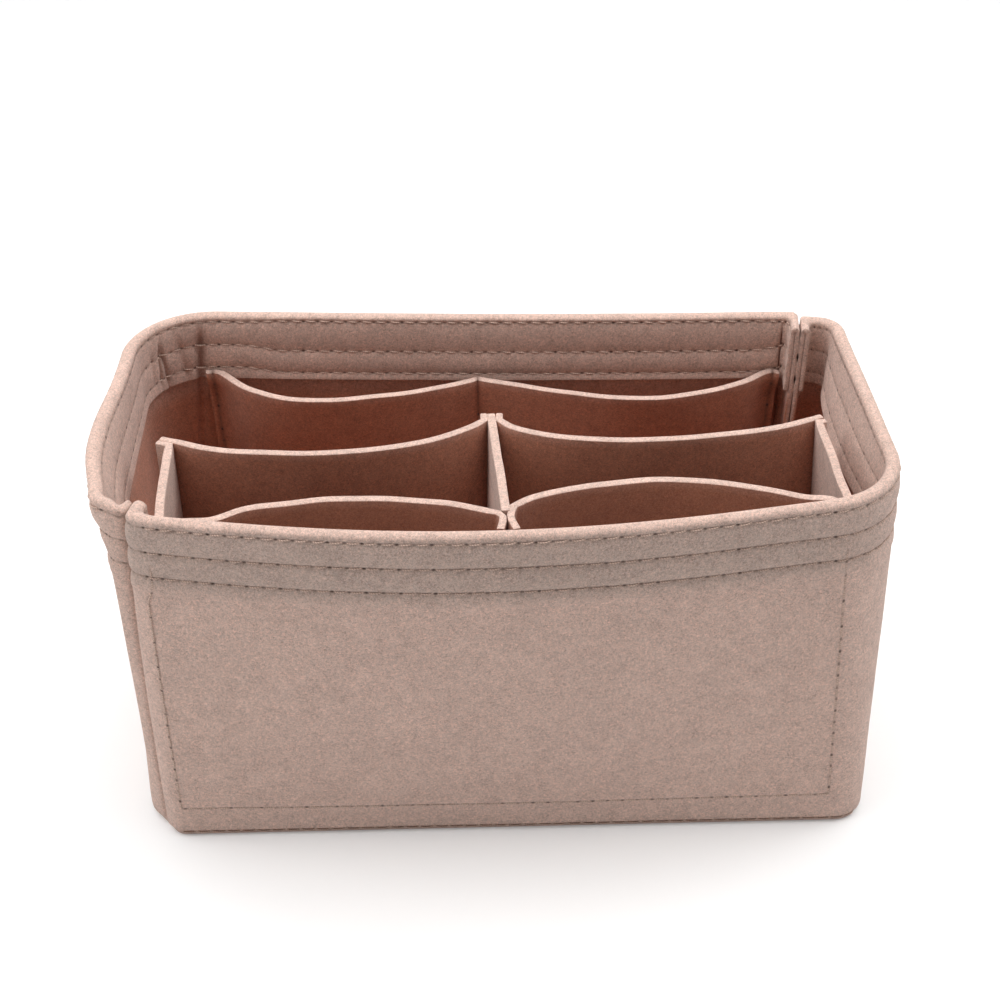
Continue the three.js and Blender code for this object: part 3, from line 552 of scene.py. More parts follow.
def makeFeltMaterial(name, withRows=False, withRuns=False):
    look = feltLook
    material, tree, shader = newMaterial(name, {
        "Roughness": look["roughness"], "Specular IOR Level": look["specular"],
        "Sheen Weight": look["sheen"], "Sheen Roughness": look["sheenRoughness"],
    })
    position = tree.nodes.new("ShaderNodeTexCoord").outputs["Object"]
    fibres = addNode(tree, "Group", {"Position": position, "Speckle": look["speckle"]}, node_tree=fibreGroup)
    ground = spreadOut(tree, fibres.outputs["Ground"], look["groundSpread"])
    grey = spreadOut(tree, fibres.outputs["Grey"], look["greySpread"])
    low, high = (tuple(min(1, part * look[key]) for part in look["colour"]) for key in ("low", "high"))
    colour = mixColour(tree, ground, low, high)
    colour = mixColour(tree, times(tree, grey, look["greyShare"]), colour, look["grey"])
    colour = mixColour(tree, fibres.outputs["Pale"], colour, look["pale"])
    colour = mixColour(tree, fibres.outputs["Dark"], colour, look["dark"])
    # the inside layer holds the share of the painted shade deep inside (less than zero: of the painted shade
    # on the front hem) and the share of the painted shade in creases, seams and the front pockets
    inside, creased = uvOf(tree, "inside")
    colour = mixColour(tree, times(tree, inside, -1.0, clamp=True), colour, look["hem"], "MULTIPLY")
    colour = mixColour(tree, inside, colour, look["inside"], "MULTIPLY")
    colour = mixColour(tree, creased, colour, look["shadow"])
    relief = fibres.outputs["Height"]
    masks = []
    if withRows:
        along, up = uvOf(tree, "strip")
        away = [calculate(tree, "ABSOLUTE", minus(tree, up, z * mm)) for z in rowHeights]
        masks.append((along, calculate(tree, "MINIMUM", away[0], calculate(tree, "MINIMUM", *away[1:]))))
    if withRuns:
        masks.append(uvOf(tree, "panel"))
    for along, across in masks:
        holes = addNode(tree, "Group", {"Along": along, "Across": across}, node_tree=holeGroup)
        hole, pucker, shade = (holes.outputs[key] for key in ("Hole", "Pucker", "Shade"))
        # painted shade beside each line of stitches, and painted shade in its needle holes
        colour = mixColour(tree, times(tree, shade, look["seamShade"]), colour, look["dark"])
        colour = mixColour(tree, hole, colour, look["hole"])
        dips = [times(tree, hole, look["holeDepth"]), times(tree, pucker, look["puckerDepth"])]
        relief = minus(tree, relief, calculate(tree, "ADD", *dips))
    finishSurface(tree, shader, colour, relief, look)
    return material


def makeThreadMaterial():
    look = threadLook
    material, tree, shader = newMaterial("sewingThread", {
        "Roughness": look["roughness"], "Specular IOR Level": look["specular"]})
    along, around = uvOf(tree, "thread")
    twist = calculate(tree, "ADD", times(tree, along, look["twist"]), times(tree, around, look["around"]))
    ply = calculate(tree, "ADD", times(tree, calculate(tree, "SINE", twist), 0.5), 0.5)
    # the thread is painted darker where its relief is low, in the grooves between its plies: painted shade
    finishSurface(tree, shader, mixColour(tree, ply, look["dark"], look["colour"]), ply, look)
    return material


wallFelt = makeFeltMaterial("feltWithStitchRows", withRows=True, withRuns=True)
sewnFelt = makeFeltMaterial("feltWithStitchRun", withRuns=True)
plainFelt = makeFeltMaterial("feltPlain")
threadMaterial = makeThreadMaterial()
print("materials made")


def place(piece, node, slot):
    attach(piece, "root")
    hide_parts(node)


# Hem stitches pull the felt in at each row, most of all at the holes, and let it puff out between them
def rowPinch(run, z):
    away = min(abs(z - row) for row in rowHeights)
    atHoles = 1 - stitch["scallop"] * (1 + np.cos(2 * math.pi * run / stitch["pitch"]))
    pinch = stitch["groove"] * math.exp(-(away / stitch["grooveWidth"]) ** 2) * atHoles
    if z < hemBottom:
        return pinch * 0
    return pinch - stitch["puff"] * math.sin(min(1.0, away / (rows["spacing"] / 2)) * quarter) ** 2


# Share of that on the hem's inner layer: less than outside, and least on the side walls
def innerPinch(turned, run):
    marks = stripMark[turned]
    return np.interp(run, (marks["corner"], marks["side"]), stitch["innerShare"])


# Distance from the three-sided stitch run on the front or back, more than zero inside it
def panelDistance(turned, x, z):
    leftAt, rightAt, top = panelRuns[turned]
    sides = np.minimum(x - leftAt(z), rightAt(z) - x)
    across = np.minimum(sides, z - rows["bottom"])
    along = np.where(sides < z - rows["bottom"], z, x)
    return along, np.where(z > top + stitch["pitch"] / 4, farAway, across)


# The box of two cells
ends = dict(left=(15.5, 20.3), right=(10.0, 16.6), cornerFlap={-1: 4.0, 1: 2.4}, cornerTilt=20.0,
            middleFlap=3.4, pocketFlap=9.0, flare=0.15, turn=2.0, spread=1.6, pressed=2.1, apex=1.0,
            waist=3.4, waistHeights=(0.72, 0.96), waistPlay=0.04, apexHeights=(0.35, 0.7), play=0.02,
            turnFrom=0.6, turnIn=(0.3, 1.6), turnTo=0.7, gussetFlap=0.65, gussetLine=(0.35, 0.7))
divider = dict(back=((-0.033, -0.07), (0.0, 0.0)), front=((-0.033, -0.845), (0.02, -0.8)))
corners = {-1: (-0.14, -0.18), 1: (-0.07, -0.043)}
bellies = dict(
    leftPocket=([(0.16, -0.865), (0.28, -0.87), (0.48, -0.87), (0.7, -0.865), (0.86, -0.855), (0.93, -0.85)],
                [(0.12, -0.85), (0.22, -0.77), (0.4, -0.712), (0.62, -0.695), (0.8, -0.73), (0.92, -0.79)]),
    rightPocket=([(0.1, -0.865), (0.25, -0.87), (0.48, -0.87), (0.7, -0.865), (0.86, -0.855), (0.93, -0.85)],
                 [(0.09, -0.735), (0.21, -0.665), (0.39, -0.585), (0.56, -0.57), (0.77, -0.63),
                  (0.92, -0.71)]),
    leftMiddle=([(0.12, -0.135), (0.35, -0.12), (0.6, -0.1), (0.85, -0.08), (0.94, -0.075)],
                [(0.1, -0.23), (0.28, -0.285), (0.52, -0.29), (0.8, -0.19), (0.94, -0.06)]),
    rightMiddle=([(0.12, -0.07), (0.35, -0.075), (0.6, -0.08), (0.85, -0.08), (0.94, -0.075)],
                 [(0.12, -0.105), (0.35, -0.182), (0.6, -0.21), (0.8, -0.175), (0.94, -0.075)]),
    backPocket=([(0.06, 0.92), (0.18, 0.92), (0.33, 0.92), (0.47, 0.925),
                 (0.59, 0.92), (0.75, 0.92), (0.86, 0.92), (0.95, 0.92)],
                [(0.063, 0.675), (0.15, 0.565), (0.325, 0.6), (0.47, 0.76),
                 (0.59, 0.64), (0.745, 0.53), (0.857, 0.575), (0.95, 0.685)]),
)
backPocket = dict(end=21.5, lap=4.2, seamPoint=3, groove=0.5, grooveWidth=0.75)


def boxEndAt(side, z):
    inset = mix(*ends["left" if side < 0 else "right"], z / boxTop)
    return shiftAt(z) + side * (halfLengthAt(z) - inset)


def boxFrontAt(side, z):
    if side > 0:
        return boxEndAt(side, z)
    seam = seamPlan(False, z)
    flapReach = seam["flap"] * seam["inwards"][0] + (gap / 2 + liningAt(z)) * seam["along"][0]
    return seam["place"][0] + flapReach + felt["liningGap"] + thickness / 2


def frontEnd(x, z):
    return max(longFace(False, x + side * thickness / 2, z, liningAt(z) + felt["endGap"]) for side in (-1, 1))


def sharePoint(pair, z):
    rise = z / boxTop
    along, across = (mix(pair[0][i], pair[1][i], rise) for i in (0, 1))
    return shiftAt(z) + along * halfLengthAt(z), across * halfWidthAt(z)


def dividerX(y, z):
    backX, backY = sharePoint(divider["back"], z)
    frontX, frontY = sharePoint(divider["front"], z)
    return mix(backX, frontX, (y - backY) / (frontY - backY))


def bellyPoints(name, z, start, end, top):
    low, high = bellies[name]
    rise = z / top
    return [(mix(start, end, mix(a[0], b[0], rise)), mix(a[1], b[1], rise) * halfWidthAt(z))
            for a, b in zip(low, high)]


def pocketFlapEnd(z):
    x, y = sharePoint(divider["front"], z)
    depth = liningAt(z) + felt["endGap"] + ends["flare"] / 2
    return max(y - ends["pocketFlap"], longFace(False, x, z, depth))


# A panel's plan at one height is a list of smooth stretches with sharp folds between them
pressedLayer = (thickness + ends["pressed"]) / 2 - felt["play"]
seamHalf = ends["pressed"] / 2 + ends["play"]


def frontPocketPath(side, name):
    def path(z):
        endX = boxFrontAt(side, z) - side * layer
        pinchX, pinchY = sharePoint(divider["front"], z)
        wallY = frontEnd(endX, z)
        belly = bellyPoints(name, z, endX, pinchX, boxTop)
        turn = ends["turn"]
        turnY = max(belly[0][1] - turn, (wallY + belly[0][1]) / 2)
        flapEnd = pocketFlapEnd(z)
        cornerY = pinchY + side * ends["spread"] * z / boxTop
        foldAt = (dividerX(cornerY, z) + side * pressedLayer, cornerY)
        waistY, tipX = pinchY - ends["waist"], dividerX(flapEnd, z) + side * pressedLayer
        narrow = smoothShare(z / boxTop, *ends["waistHeights"])
        waistHalf = mix(pressedLayer, ends["pressed"] / 2 + ends["waistPlay"], narrow)
        waistX = dividerX(waistY, z) + side * waistHalf
        early, late = (endX - side * turn * share for share in ends["turnIn"])
        return [[(endX, wallY), (endX, mix(wallY, turnY, ends["turnFrom"])), (early, turnY),
                 (late, mix(turnY, belly[0][1], ends["turnTo"])), *belly, foldAt],
                [foldAt, (waistX, waistY), (tipX, flapEnd)]]
    return path


def cornerPlace(side, z):
    tilt = math.radians(ends["cornerTilt"])
    base = np.array([boxEndAt(side, z), mix(*corners[side], z / boxTop) * halfWidthAt(z)])
    out = np.array([side * math.cos(tilt), math.sin(tilt)])
    behind = np.array([-side * out[1], side * out[0]])
    return lambda along, across: tuple(base + out * along + behind * across)


def gussetPath(side):
    def path(z):
        frontX = boxFrontAt(side, z)
        wallY = frontEnd(frontX, z)
        corner = cornerPlace(side, z)
        foldAt = corner(0, -seamHalf)
        onLine = [(mix(frontX, foldAt[0], share), mix(wallY, foldAt[1], share))
                  for share in ends["gussetLine"]]
        return [[(frontX, wallY), (frontX, wallY + ends["pocketFlap"] * ends["gussetFlap"]), *onLine, foldAt],
                [foldAt, corner(ends["cornerFlap"][side], -seamHalf)]]
    return path


def middlePath(side, name):
    def path(z):
        corner = cornerPlace(side, z)
        pinchX, pinchY = sharePoint(divider["back"], z)
        flapEnd = pinchY + ends["middleFlap"]
        flapX = dividerX(pinchY, z) + side * pressedLayer
        outerFold = corner(0, seamHalf)
        return [[corner(ends["cornerFlap"][side], seamHalf), outerFold],
                [outerFold, *bellyPoints(name, z, boxEndAt(side, z), pinchX, boxTop), (flapX, pinchY)],
                [(flapX, pinchY), (flapX + side * ends["flare"], flapEnd)]]
    return path


def dividerPath(z):
    backY, pinchY = sharePoint(divider["back"], z)[1] + ends["middleFlap"], sharePoint(divider["front"], z)[1]
    frontY = mix(pocketFlapEnd(z), pinchY - ends["apex"], smoothShare(z / boxTop, *ends["apexHeights"]))
    places = [mix(backY, frontY, share) for share in (0, 1 / 3, 2 / 3, 1)]
    return [[(dividerX(y, z), y) for y in places]]


def backPocketLeftAt(z):
    return shiftAt(z) - halfLengthAt(z) + backPocket["end"]


backSeamTop = seamPlan(True, backPocketTop)
backPocketRight = (-backSeamTop["place"][0] - backSeamTop["flap"] * math.sin(backSeamTop["turn"]) - gap / 2
                   - felt["hemDepth"] * backSeam["squeeze"] - felt["liningGap"])


def backPocketPath(z):
    left, right, lap = backPocketLeftAt(z), backPocketRight, backPocket["lap"]
    flatY = lambda x: longFace(True, x, z, liningAt(z) + felt["liningGap"] + thickness / 2)
    belly = bellyPoints("backPocket", z, left + lap, right - lap, backPocketTop)
    belly = [(x, min(y, flatY(x))) for x, y in belly]
    seam = backPocket["seamPoint"]
    return [[*[(x, flatY(x)) for x in (left, left + lap / 2, left + lap)], *belly[:seam + 1]],
            [*belly[seam:], *[(x, flatY(x)) for x in (right - lap, right - lap / 2, right)]]]


# Centripetal Catmull-Rom curve through the points of a panel's plan
def smoothPath(points, steps=12):
    points = np.array(points, float)
    padded = np.vstack([2 * points[0] - points[1], points, 2 * points[-1] - points[-2]])
    share = np.arange(steps)[:, None] / steps
    curve = []
    for i in range(len(points) - 1):
        p = padded[i:i + 4]
        d = np.maximum(np.linalg.norm(np.diff(p, axis=0), axis=1) ** 0.5, 1e-4)
        t1 = ((p[1] - p[0]) / d[0] - (p[2] - p[0]) / (d[0] + d[1]) + (p[2] - p[1]) / d[1]) * d[1]
        t2 = ((p[2] - p[1]) / d[1] - (p[3] - p[1]) / (d[1] + d[2]) + (p[3] - p[2]) / d[2]) * d[1]
        curve.append(p[1] + share * t1 + share ** 2 * (-3 * p[1] + 3 * p[2] - 2 * t1 - t2)
                     + share ** 3 * (2 * p[1] - 2 * p[2] + t1 + t2))
    return np.vstack([*curve, points[-1:]])


def pathNormals(path):
    return leftOf(unit(np.gradient(path, axis=0)))


# Even places from low to high with a few closer ones at both ends, for rounded edges
def nearEdges(low, high, step, edge):
    count = max(2, int(round((high - low - 2 * edge) / step)))
    ramp = np.array(edgeShares) * edge
    return np.concatenate([low + ramp, np.linspace(low + edge, high - edge, count + 1), high - ramp[::-1]])


# How far a cut edge of felt is rounded back on each face
def edgeThinning(place, low, high):
    edge = felt["edgeRound"]
    near = np.clip(np.minimum(place - low, high - place) / edge, 0, 1)
    return edge * (1 - np.sqrt(np.maximum(0, 1 - (1 - near) ** 2)))


# The three-sided stitch runs on the front and the back: left side, right side, top
halfLap = backPocket["lap"] / 2
panelRuns = {
    False: (lambda z: boxFrontAt(-1, z) - thickness / 2, lambda z: boxFrontAt(1, z) - layer,
            height - rows["frontDrop"]),
    True: (lambda z: backPocketLeftAt(z) + halfLap, lambda z: backPocketRight - halfLap,
           height - rows["backDrop"]),
}


# Creases of the back wall's inside: place along the strip, slant, depth, width, and the heights between
# which they run. The back left corner is crumpled, because the inside has less way to go round.
def backRun(x):
    kept = slice(stationStarts["startBend"], stationStarts["side"])
    return float(np.interp(-x, -stripRow(True, rowHeights[-1])[0][kept, 0], stripRun[True][kept]))


backLeftCorner = (stripMark[True]["corner"] + stripMark[True]["side"]) / 2
creases = {False: (), True: (
    (backRun(-95.5), 0.0, 1.5, 1.6, 60, 121), (backRun(backPocketRight + 1.6), 0.0, 1.2, 0.8, 60, 122),
    (backLeftCorner - 6.5, 0.2, 0.5, 1.3, 98, 121), (backLeftCorner + 1.6, 0.12, 1.1, 0.8, 96, 119),
    (backLeftCorner + 4.4, -0.1, 1.0, 0.7, 100, 121), (backLeftCorner + 9.0, -0.15, 0.4, 1.1, 104, 120),
)}
creaseFade, creaseMiddle = 6.0, 108.0


def creaseDepth(turned, runs, z):
    depth = np.zeros(len(runs))
    for run, slant, deep, wide, low, high in creases[turned]:
        share = np.clip(min(z - low, high - z) / creaseFade, 0, 1)
        depth += share * deep * np.exp(-((runs - run - slant * (z - creaseMiddle)) / wide) ** 2)
    return depth


# Levels and painted shade of the wall strips: where levels lie, how uneven the felt is, how far below the rim
# the painted inside shade starts and is full, where the painted shade on the front hem lies, and the creases'
# painted shade
wall = dict(levels=34, settlingLevels=4, foldLevels=13, besideRow=(-3.8, 4.7), rowStep=0.75, foldRun=2.0,
            unevenness=0.14, foldMargin=0.3, hemInsideShade=(16, 60), liningInsideShade=(18, 34), hemShadeFrom=(-2, 4),
            hemShadeTop=3, hemShadeCorner=5, creaseShade=0.42, hiddenShift=60)


# A wall strip, with its top folded inwards into the hem
def makeWall(name, node, turned):
    total, marks = stripRun[turned][-1], stripMark[turned]
    edge, hemDepth, hemLayer = felt["edgeRound"], felt["hemDepth"], felt["hemLayer"]
    runs = nearEdges(0, total, felt["spacing"], edge)
    extra = [run + wide * step for run, _, _, wide, _, _ in creases[turned] for step in (-1, -0.5, 0, 0.5, 1)]
    runs = np.array(sorted({*runs, *[x for x in extra if np.abs(runs - x).min() > felt["spacing"] / 4]}))
    thin = edgeThinning(runs, 0, total)
    fold, foldInside, innerBack = hemDepth / 2, hemDepth / 2 - hemLayer, hemDepth - hemLayer
    foldHeight = height - fold
    low = [wallBottom + edge * share for share in (*edgeShares, 1)]
    below = [*np.linspace(low[-1], settledHeight, wall["levels"])[1:],
             *np.linspace(settledHeight, hemBottom, wall["settlingLevels"])[1:]]
    below = sorted(below + [rows["bottom"] + step for step in (-1, 0, 1)])
    start, end = wall["besideRow"]
    beside = [np.arange(row + start, row + end, wall["rowStep"]) for row in rowHeights]
    inHem = sorted({round(z, 3) for z in np.concatenate([rowHeights, *beside]) if hemBottom < z < foldHeight})
    # each step: outer place and inner place, both as (depth, height), and the height on the sheet
    steps = []
    for z in low + below:
        rounding = float(edgeThinning(np.array(z), wallBottom, math.inf))
        steps.append(((rounding, z), (settledDepth(z, hemLayer) - rounding, z), z))
    steps += [((0, z), (hemLayer, z), z) for z in inHem]
    for turn in np.linspace(0, math.pi, wall["foldLevels"]):
        across, up = -math.cos(turn), math.sin(turn)
        steps.append(((fold + fold * across, foldHeight + fold * up),
                      (fold + foldInside * across, foldHeight + foldInside * up),
                      foldHeight + wall["foldRun"] * up))
    steps += [((hemDepth, z), (innerBack, z), z) for z in inHem[::-1]]
    for share in (1, *edgeShares[::-1]):
        z = hemBottom + edge * share
        rounding = float(edgeThinning(np.array(z), hemBottom, math.inf))
        steps.append(((hemDepth - rounding, z), (innerBack + rounding, z), z))
    outer, inner, uvStrip, uvPanel, uvInside = [], [], [], [], []
    for (depth, z), (backDepth, backZ), up in steps:
        outside = depth < fold
        onFace = abs(depth - fold) > fold - wall["foldMargin"]
        puffing = wall["unevenness"] * ripple(runs, runs * 0 + z, 2 + turned) * onFace
        pinch = rowPinch(runs, z) * onFace * (1 if outside else innerPinch(turned, runs))
        creased = creaseDepth(turned, runs, z)
        if outside:
            outer.append(onStrip(turned, runs, z, depth + pinch + thin + puffing))
            backDepth = backDepth - thin - creased * (z < hemBottom) + puffing
            share = runs * 0
            if not turned:
                # painted shade on the front hem's outer face, fading out towards the rim and round the corner
                hemShadeShare = smoothShare(z, *(hemBottom + step for step in wall["hemShadeFrom"]))
                hemShadeShare = hemShadeShare * (1 - smoothShare(z, height - wall["hemShadeTop"], height))
                places = (marks["corner"] - wall["hemShadeCorner"], marks["side"])
                share = -hemShadeShare * np.interp(runs, places, (1, 0))
        else:
            outer.append(onStrip(turned, runs, z, depth - pinch - thin + puffing - creased * onFace))
            backDepth = backDepth + thin
            # painted shade on the hem's inner face, deeper below the rim
            share = runs * 0 + smoothShare(height - z, *wall["hemInsideShade"])
        inner.append(onStrip(turned, runs, backZ, backDepth))
        uvStrip.append(np.column_stack([runs, runs * 0 + up]))
        onWall = panelDistance(turned, outer[-1][:, 0], z) if depth < 1 else (runs * 0, runs * 0 + farAway)
        uvPanel.append(np.column_stack(onWall))
        uvInside.append(np.column_stack([share, creased * (0 if outside else wall["creaseShade"])]) / mm)
    strip, panel = np.concatenate(uvStrip), np.concatenate(uvPanel)
    # painted shade on the inner layers below the hem, deeper below the rim
    lining = smoothShare(height - strip[:, 1], *wall["liningInsideShade"]) / mm
    # the layers inside the hem show no needle holes
    hidden = strip.copy()
    hidden[len(low + below) * len(runs):, 1] += wall["hiddenShift"]
    uv = {
        "strip": np.concatenate([strip, hidden]),
        "panel": np.concatenate([panel, panel * 0 + farAway]),
        "inside": np.concatenate([*uvInside, np.column_stack([lining, lining * 0])]),
    }
    points = np.concatenate(outer + inner)
    piece = makePiece(name, points, turnOutwards(points, sheetFaces(len(steps), len(runs))), wallFelt, uv)
    place(piece, node, "felt")


# Stations along one stretch: close beside a sharp fold or a cut end, even in between
def stretchStations(length, foldBefore, foldAfter, closeBy):
    edge = felt["edgeRound"]
    near = min(folds["reach"], length / 2)
    offsets = {True: [near * share for share in folds["shares"]],
               False: [*(edge * share for share in edgeShares), edge, *closeBy]}
    low, high = offsets[foldBefore], offsets[foldAfter]
    count = max(2, int(round((length - low[-1] - high[-1]) / felt["panelSpacing"])))
    return low, high, np.arange(1, count) / count


# Both faces of a panel at one height, with its folds square outside and tight inside
def panelRow(stretches, stations, halfAt):
    curves = [smoothPath(points) for points in stretches]
    lengths = [runLength(curve)[-1] for curve in curves]
    total, before = sum(lengths), 0.0
    outer, inner, runs = [], [], []
    for k, (curve, length, (low, high, even)) in enumerate(zip(curves, lengths, stations)):
        at = np.concatenate([low, mix(low[-1], length - high[-1], even), length - np.array(high[::-1])])
        centre = sample(at, runLength(curve), curve)
        normal = unit(sample(at, runLength(curve), pathNormals(curve)))
        faces = [centre + normal * half[:, None] for half in halfAt(before + at, total)]
        last, highStart = len(at), len(at) - len(high)
        for corner, neighbour, edge, group in ((0, k - 1, len(low) - 1, range(len(low))),
                                               (-1, k + 1, highStart, range(highStart, last))):
            if not 0 <= neighbour < len(curves):
                continue
            other = pathNormals(curves[neighbour])[0 if corner else -1]
            bisector = (normal[corner] + other) / (1 + normal[corner] @ other)
            reach = [half[0] for half in halfAt(np.array([before + at[corner]]), total)]
            for face, half in zip(faces, reach):
                tip, anchor = centre[corner] + bisector * half, face[edge].copy()
                for i in group:
                    face[i] = mix(tip, anchor, abs(at[i] - at[corner]) / abs(at[edge] - at[corner]))
        kept = slice(1 if k else 0, None)
        for rowSoFar, values in ((outer, faces[0]), (inner, faces[1]), (runs, before + at)):
            rowSoFar.append(values[kept])
        before += length
    return np.concatenate(outer), np.concatenate(inner), np.concatenate(runs), np.cumsum(lengths)


# A panel's folds, its levels, and its slow waves: how deep, and how they fade towards its ends, its foot and
# a seam; how its free top edge waves and is worn down; the shade in its seams
folds = dict(reach=2.2, press=3.0, shares=(0, 0.22, 0.5, 1))
panelShape = dict(levelStep=2.6, flatAt=0.6, wave=0.35, endMargin=8, endFade=15, footFade=40, seamFade=20,
                  thinnest=0.35, topWave=0.35, topPace=1.7, topPower=6, worn=0.35, wornFrom=3, seamBeside=1.1,
                  seamShade=0.45, seamShadeWidth=0.9)
cutEdge, crosswise = (0.1, 0.4), (4.0, 70.0)


# sewnSide is the face on which stitches pull grooves; insideShadeFrom says how far below the top the painted
# inside shade starts and is full; shaded is the share of painted shade that goes with it
def makePanel(name, node, pathAt, top, seed, material=plainFelt, pressedAt=(), sewnSide=0, insideShadeFrom=cutEdge,
              shaded=0.0):
    levels = nearEdges(wallBottom, top, panelShape["levelStep"], felt["edgeRound"])
    lengths = [runLength(smoothPath(points))[-1] for points in pathAt(boxTop * panelShape["flatAt"])]
    lap, beside = backPocket["lap"] / 2, panelShape["seamBeside"]
    closeBy = [lap + beside * step for step in (-1, -0.5, 0, 0.5, 1)] if sewnSide else []
    stations = [stretchStations(length, k > 0, k < len(lengths) - 1, closeBy)
                for k, length in enumerate(lengths)]
    outer, inner, inside, panel = [], [], [], []
    for z in levels:
        rounding = float(edgeThinning(np.array(z), wallBottom, top))

        def halfAt(at, total):
            half = fullHalf = thickness / 2 + felt["play"]
            marks = np.cumsum(lengths) / sum(lengths) * total
            for k in pressedAt:
                near = np.clip(marks[k - 1] - at if k else at - marks[0], 0, folds["press"])
                half = np.minimum(half, mix(ends["pressed"] / 2, fullHalf, near / folds["press"]))
            half = np.maximum(panelShape["thinnest"], half - edgeThinning(at, 0, total) - rounding)
            margin = panelShape["endMargin"]
            free = np.clip(np.minimum(at - margin, total - margin - at) / panelShape["endFade"], 0, 1)
            wave = panelShape["wave"] * ripple(at, at * 0 + z, seed)
            wave = wave * (free * min(1, (z - wallBottom) / panelShape["footFade"]))
            groove = at * 0
            if sewnSide:
                wave = wave * np.clip(np.abs(at - marks[0]) / panelShape["seamFade"], 0, 1)
                for mark in (lap, total - lap, marks[0]):
                    groove += backPocket["groove"] * np.exp(-((at - mark) / backPocket["grooveWidth"]) ** 2)
            return [half + wave - groove * (sewnSide > 0), wave - half + groove * (sewnSide < 0)]

        outerLine, innerLine, at, joints = panelRow(pathAt(z), stations, halfAt)
        for grid, line in ((outer, outerLine), (inner, innerLine)):
            grid.append(np.column_stack([line, np.full(len(line), z)]))
        # painted shade that deepens below the panel's top
        inside.append(at * 0 + smoothShare(top - z, *insideShadeFrom) / mm)
        away = np.minimum(np.minimum(np.abs(at - lap), np.abs(joints[-1] - lap - at)), np.abs(at - joints[0]))
        panel.append(np.column_stack([at * 0 + z, away]))
    # the free top edge waves a little, as a cut edge of felt does
    count = len(outer[0])
    places = np.linspace(0, sum(lengths) * panelShape["topPace"], count)
    lift = panelShape["topWave"] * ripple(places, places * 0, seed + 0.7)
    for row, z in zip(outer + inner, [*levels] * 2):
        risen = max(0, (z - wallBottom) / (top - wallBottom)) ** panelShape["topPower"]
        row[:, 2] += lift * risen - panelShape["worn"] * (z > top - panelShape["wornFrom"])
    points, inside, panel = (np.concatenate(rowsOf) for rowsOf in (outer + inner, inside * 2, panel * 2))
    sewnShade = panelShape["seamShade"] * np.exp(-(panel[:, 1] / panelShape["seamShadeWidth"]) ** 2) / mm
    uv = {"inside": np.column_stack([inside, np.maximum(sewnShade * (sewnSide != 0), inside * shaded)])}
    if sewnSide:
        uv["panel"] = panel
    piece = makePiece(name, points, turnOutwards(points, sheetFaces(len(levels), count)), material, uv)
    place(piece, node, "felt")


baseRings = dict(inner=(40.0, 20.0, 8.0), rim=3.0)


# The base is made of rings, as (how far in from the walls' faces, height), the same above as below
def makeBase():
    edge, inset = felt["edgeRound"], box["baseInset"]
    near = edge * edgeShares[1]
    below = [(reach, 0.0) for reach in (*baseRings["inner"], inset + edge)]
    below += [(inset + near, near), (inset, edge)]
    levels = below + [(reach, thickness - z) for reach, z in below[::-1]]
    outline = feltOutline(0)
    centre = outline.mean(axis=0)
    span = np.abs(outline - centre).max(axis=0)
    points = []
    for reach, z in levels:
        ring = feltOutline(min(reach, inset + edge))
        if reach > baseRings["rim"]:
            ring = centre + (ring - centre) * (1 - reach / span)
        points.append(np.column_stack([ring, np.full(len(ring), z)]))
    points = np.concatenate(points)
    # painted inside shade on the base's upper face, inside its rim
    lining = np.repeat([float(reach > baseRings["rim"] and z > 0) for reach, z in levels], len(outline)) / mm
    piece = makePiece("basePanel", points, ringFaces(points, len(outline)), plainFelt,
                      {"inside": np.column_stack([lining, lining * 0])})
    place(piece, "base_panel", "felt")


# Stitches: one thread that lies on the felt and dives into it at every needle hole
def stitchDive(run):
    away = np.abs((run / stitch["pitch"]) % 1 - 0.5) * 2
    return stitch["dive"] * (1 - away) ** stitch["diveSharpness"]


def stitchRuns(start, end):
    pitch = stitch["pitch"]
    cells = np.arange(math.floor(start / pitch), math.ceil(end / pitch) + 1)
    runs = ((cells[:, None] + np.array(stitch["stations"])) * pitch).ravel()
    return np.concatenate([[start], runs[(runs > start) & (runs < end)], [end]])


# Each stitch lies a little slanted from one hole to the next
def stitchSlant(run):
    return stitch["slant"] * ((run / stitch["pitch"] + 0.5) % 1 - 0.5)


# Tube round a thread's way; outwards are the felt's outward directions along it
def makeThread(name, node, centres, outwards, sides=6):
    centres = np.asarray(centres, float)
    along = unit(np.gradient(centres, axis=0))
    across = unit(np.cross(along, outwards))
    up = np.cross(across, along)
    turns = (2 * math.pi * np.arange(sides) / sides)[:, None]
    outer = np.cos(turns) * across[:, None] + np.sin(turns) * up[:, None]
    points = (centres[:, None] + stitch["radius"] * outer).reshape(-1, 3)
    around = np.tile(np.arange(sides) / sides, len(centres))
    uv = np.column_stack([np.repeat(runLength(centres), sides), around])
    place(makePiece(name, points, ringFaces(points, sides), threadMaterial, {"thread": uv}), node, "thread")


def makeRowThread(name, node, turned, z, inside):
    marks = stripMark[turned]
    start, end, proud = marks["startArc"], marks["endBend"], stitch["proud"]
    if inside:
        start = marks["startBend"] * stitch["endShare"]
        end = stripRun[turned][-1] - start
    runs = stitchRuns(start, end)
    if inside:
        proud = np.interp(runs, (marks["corner"], marks["side"]), stitch["innerProud"])
    groove = rowPinch(runs, z) * (innerPinch(turned, runs) if inside else 1)
    depth = groove + stitchDive(runs) - stitch["radius"] * proud
    depth = felt["hemDepth"] - depth if inside else depth
    centres = onStrip(turned, runs, z, depth)
    outwards = onStrip(turned, runs, z, depth + (1 if inside else -1)) - centres
    centres[:, 2] += stitchSlant(runs)
    makeThread(name, node, centres, outwards)


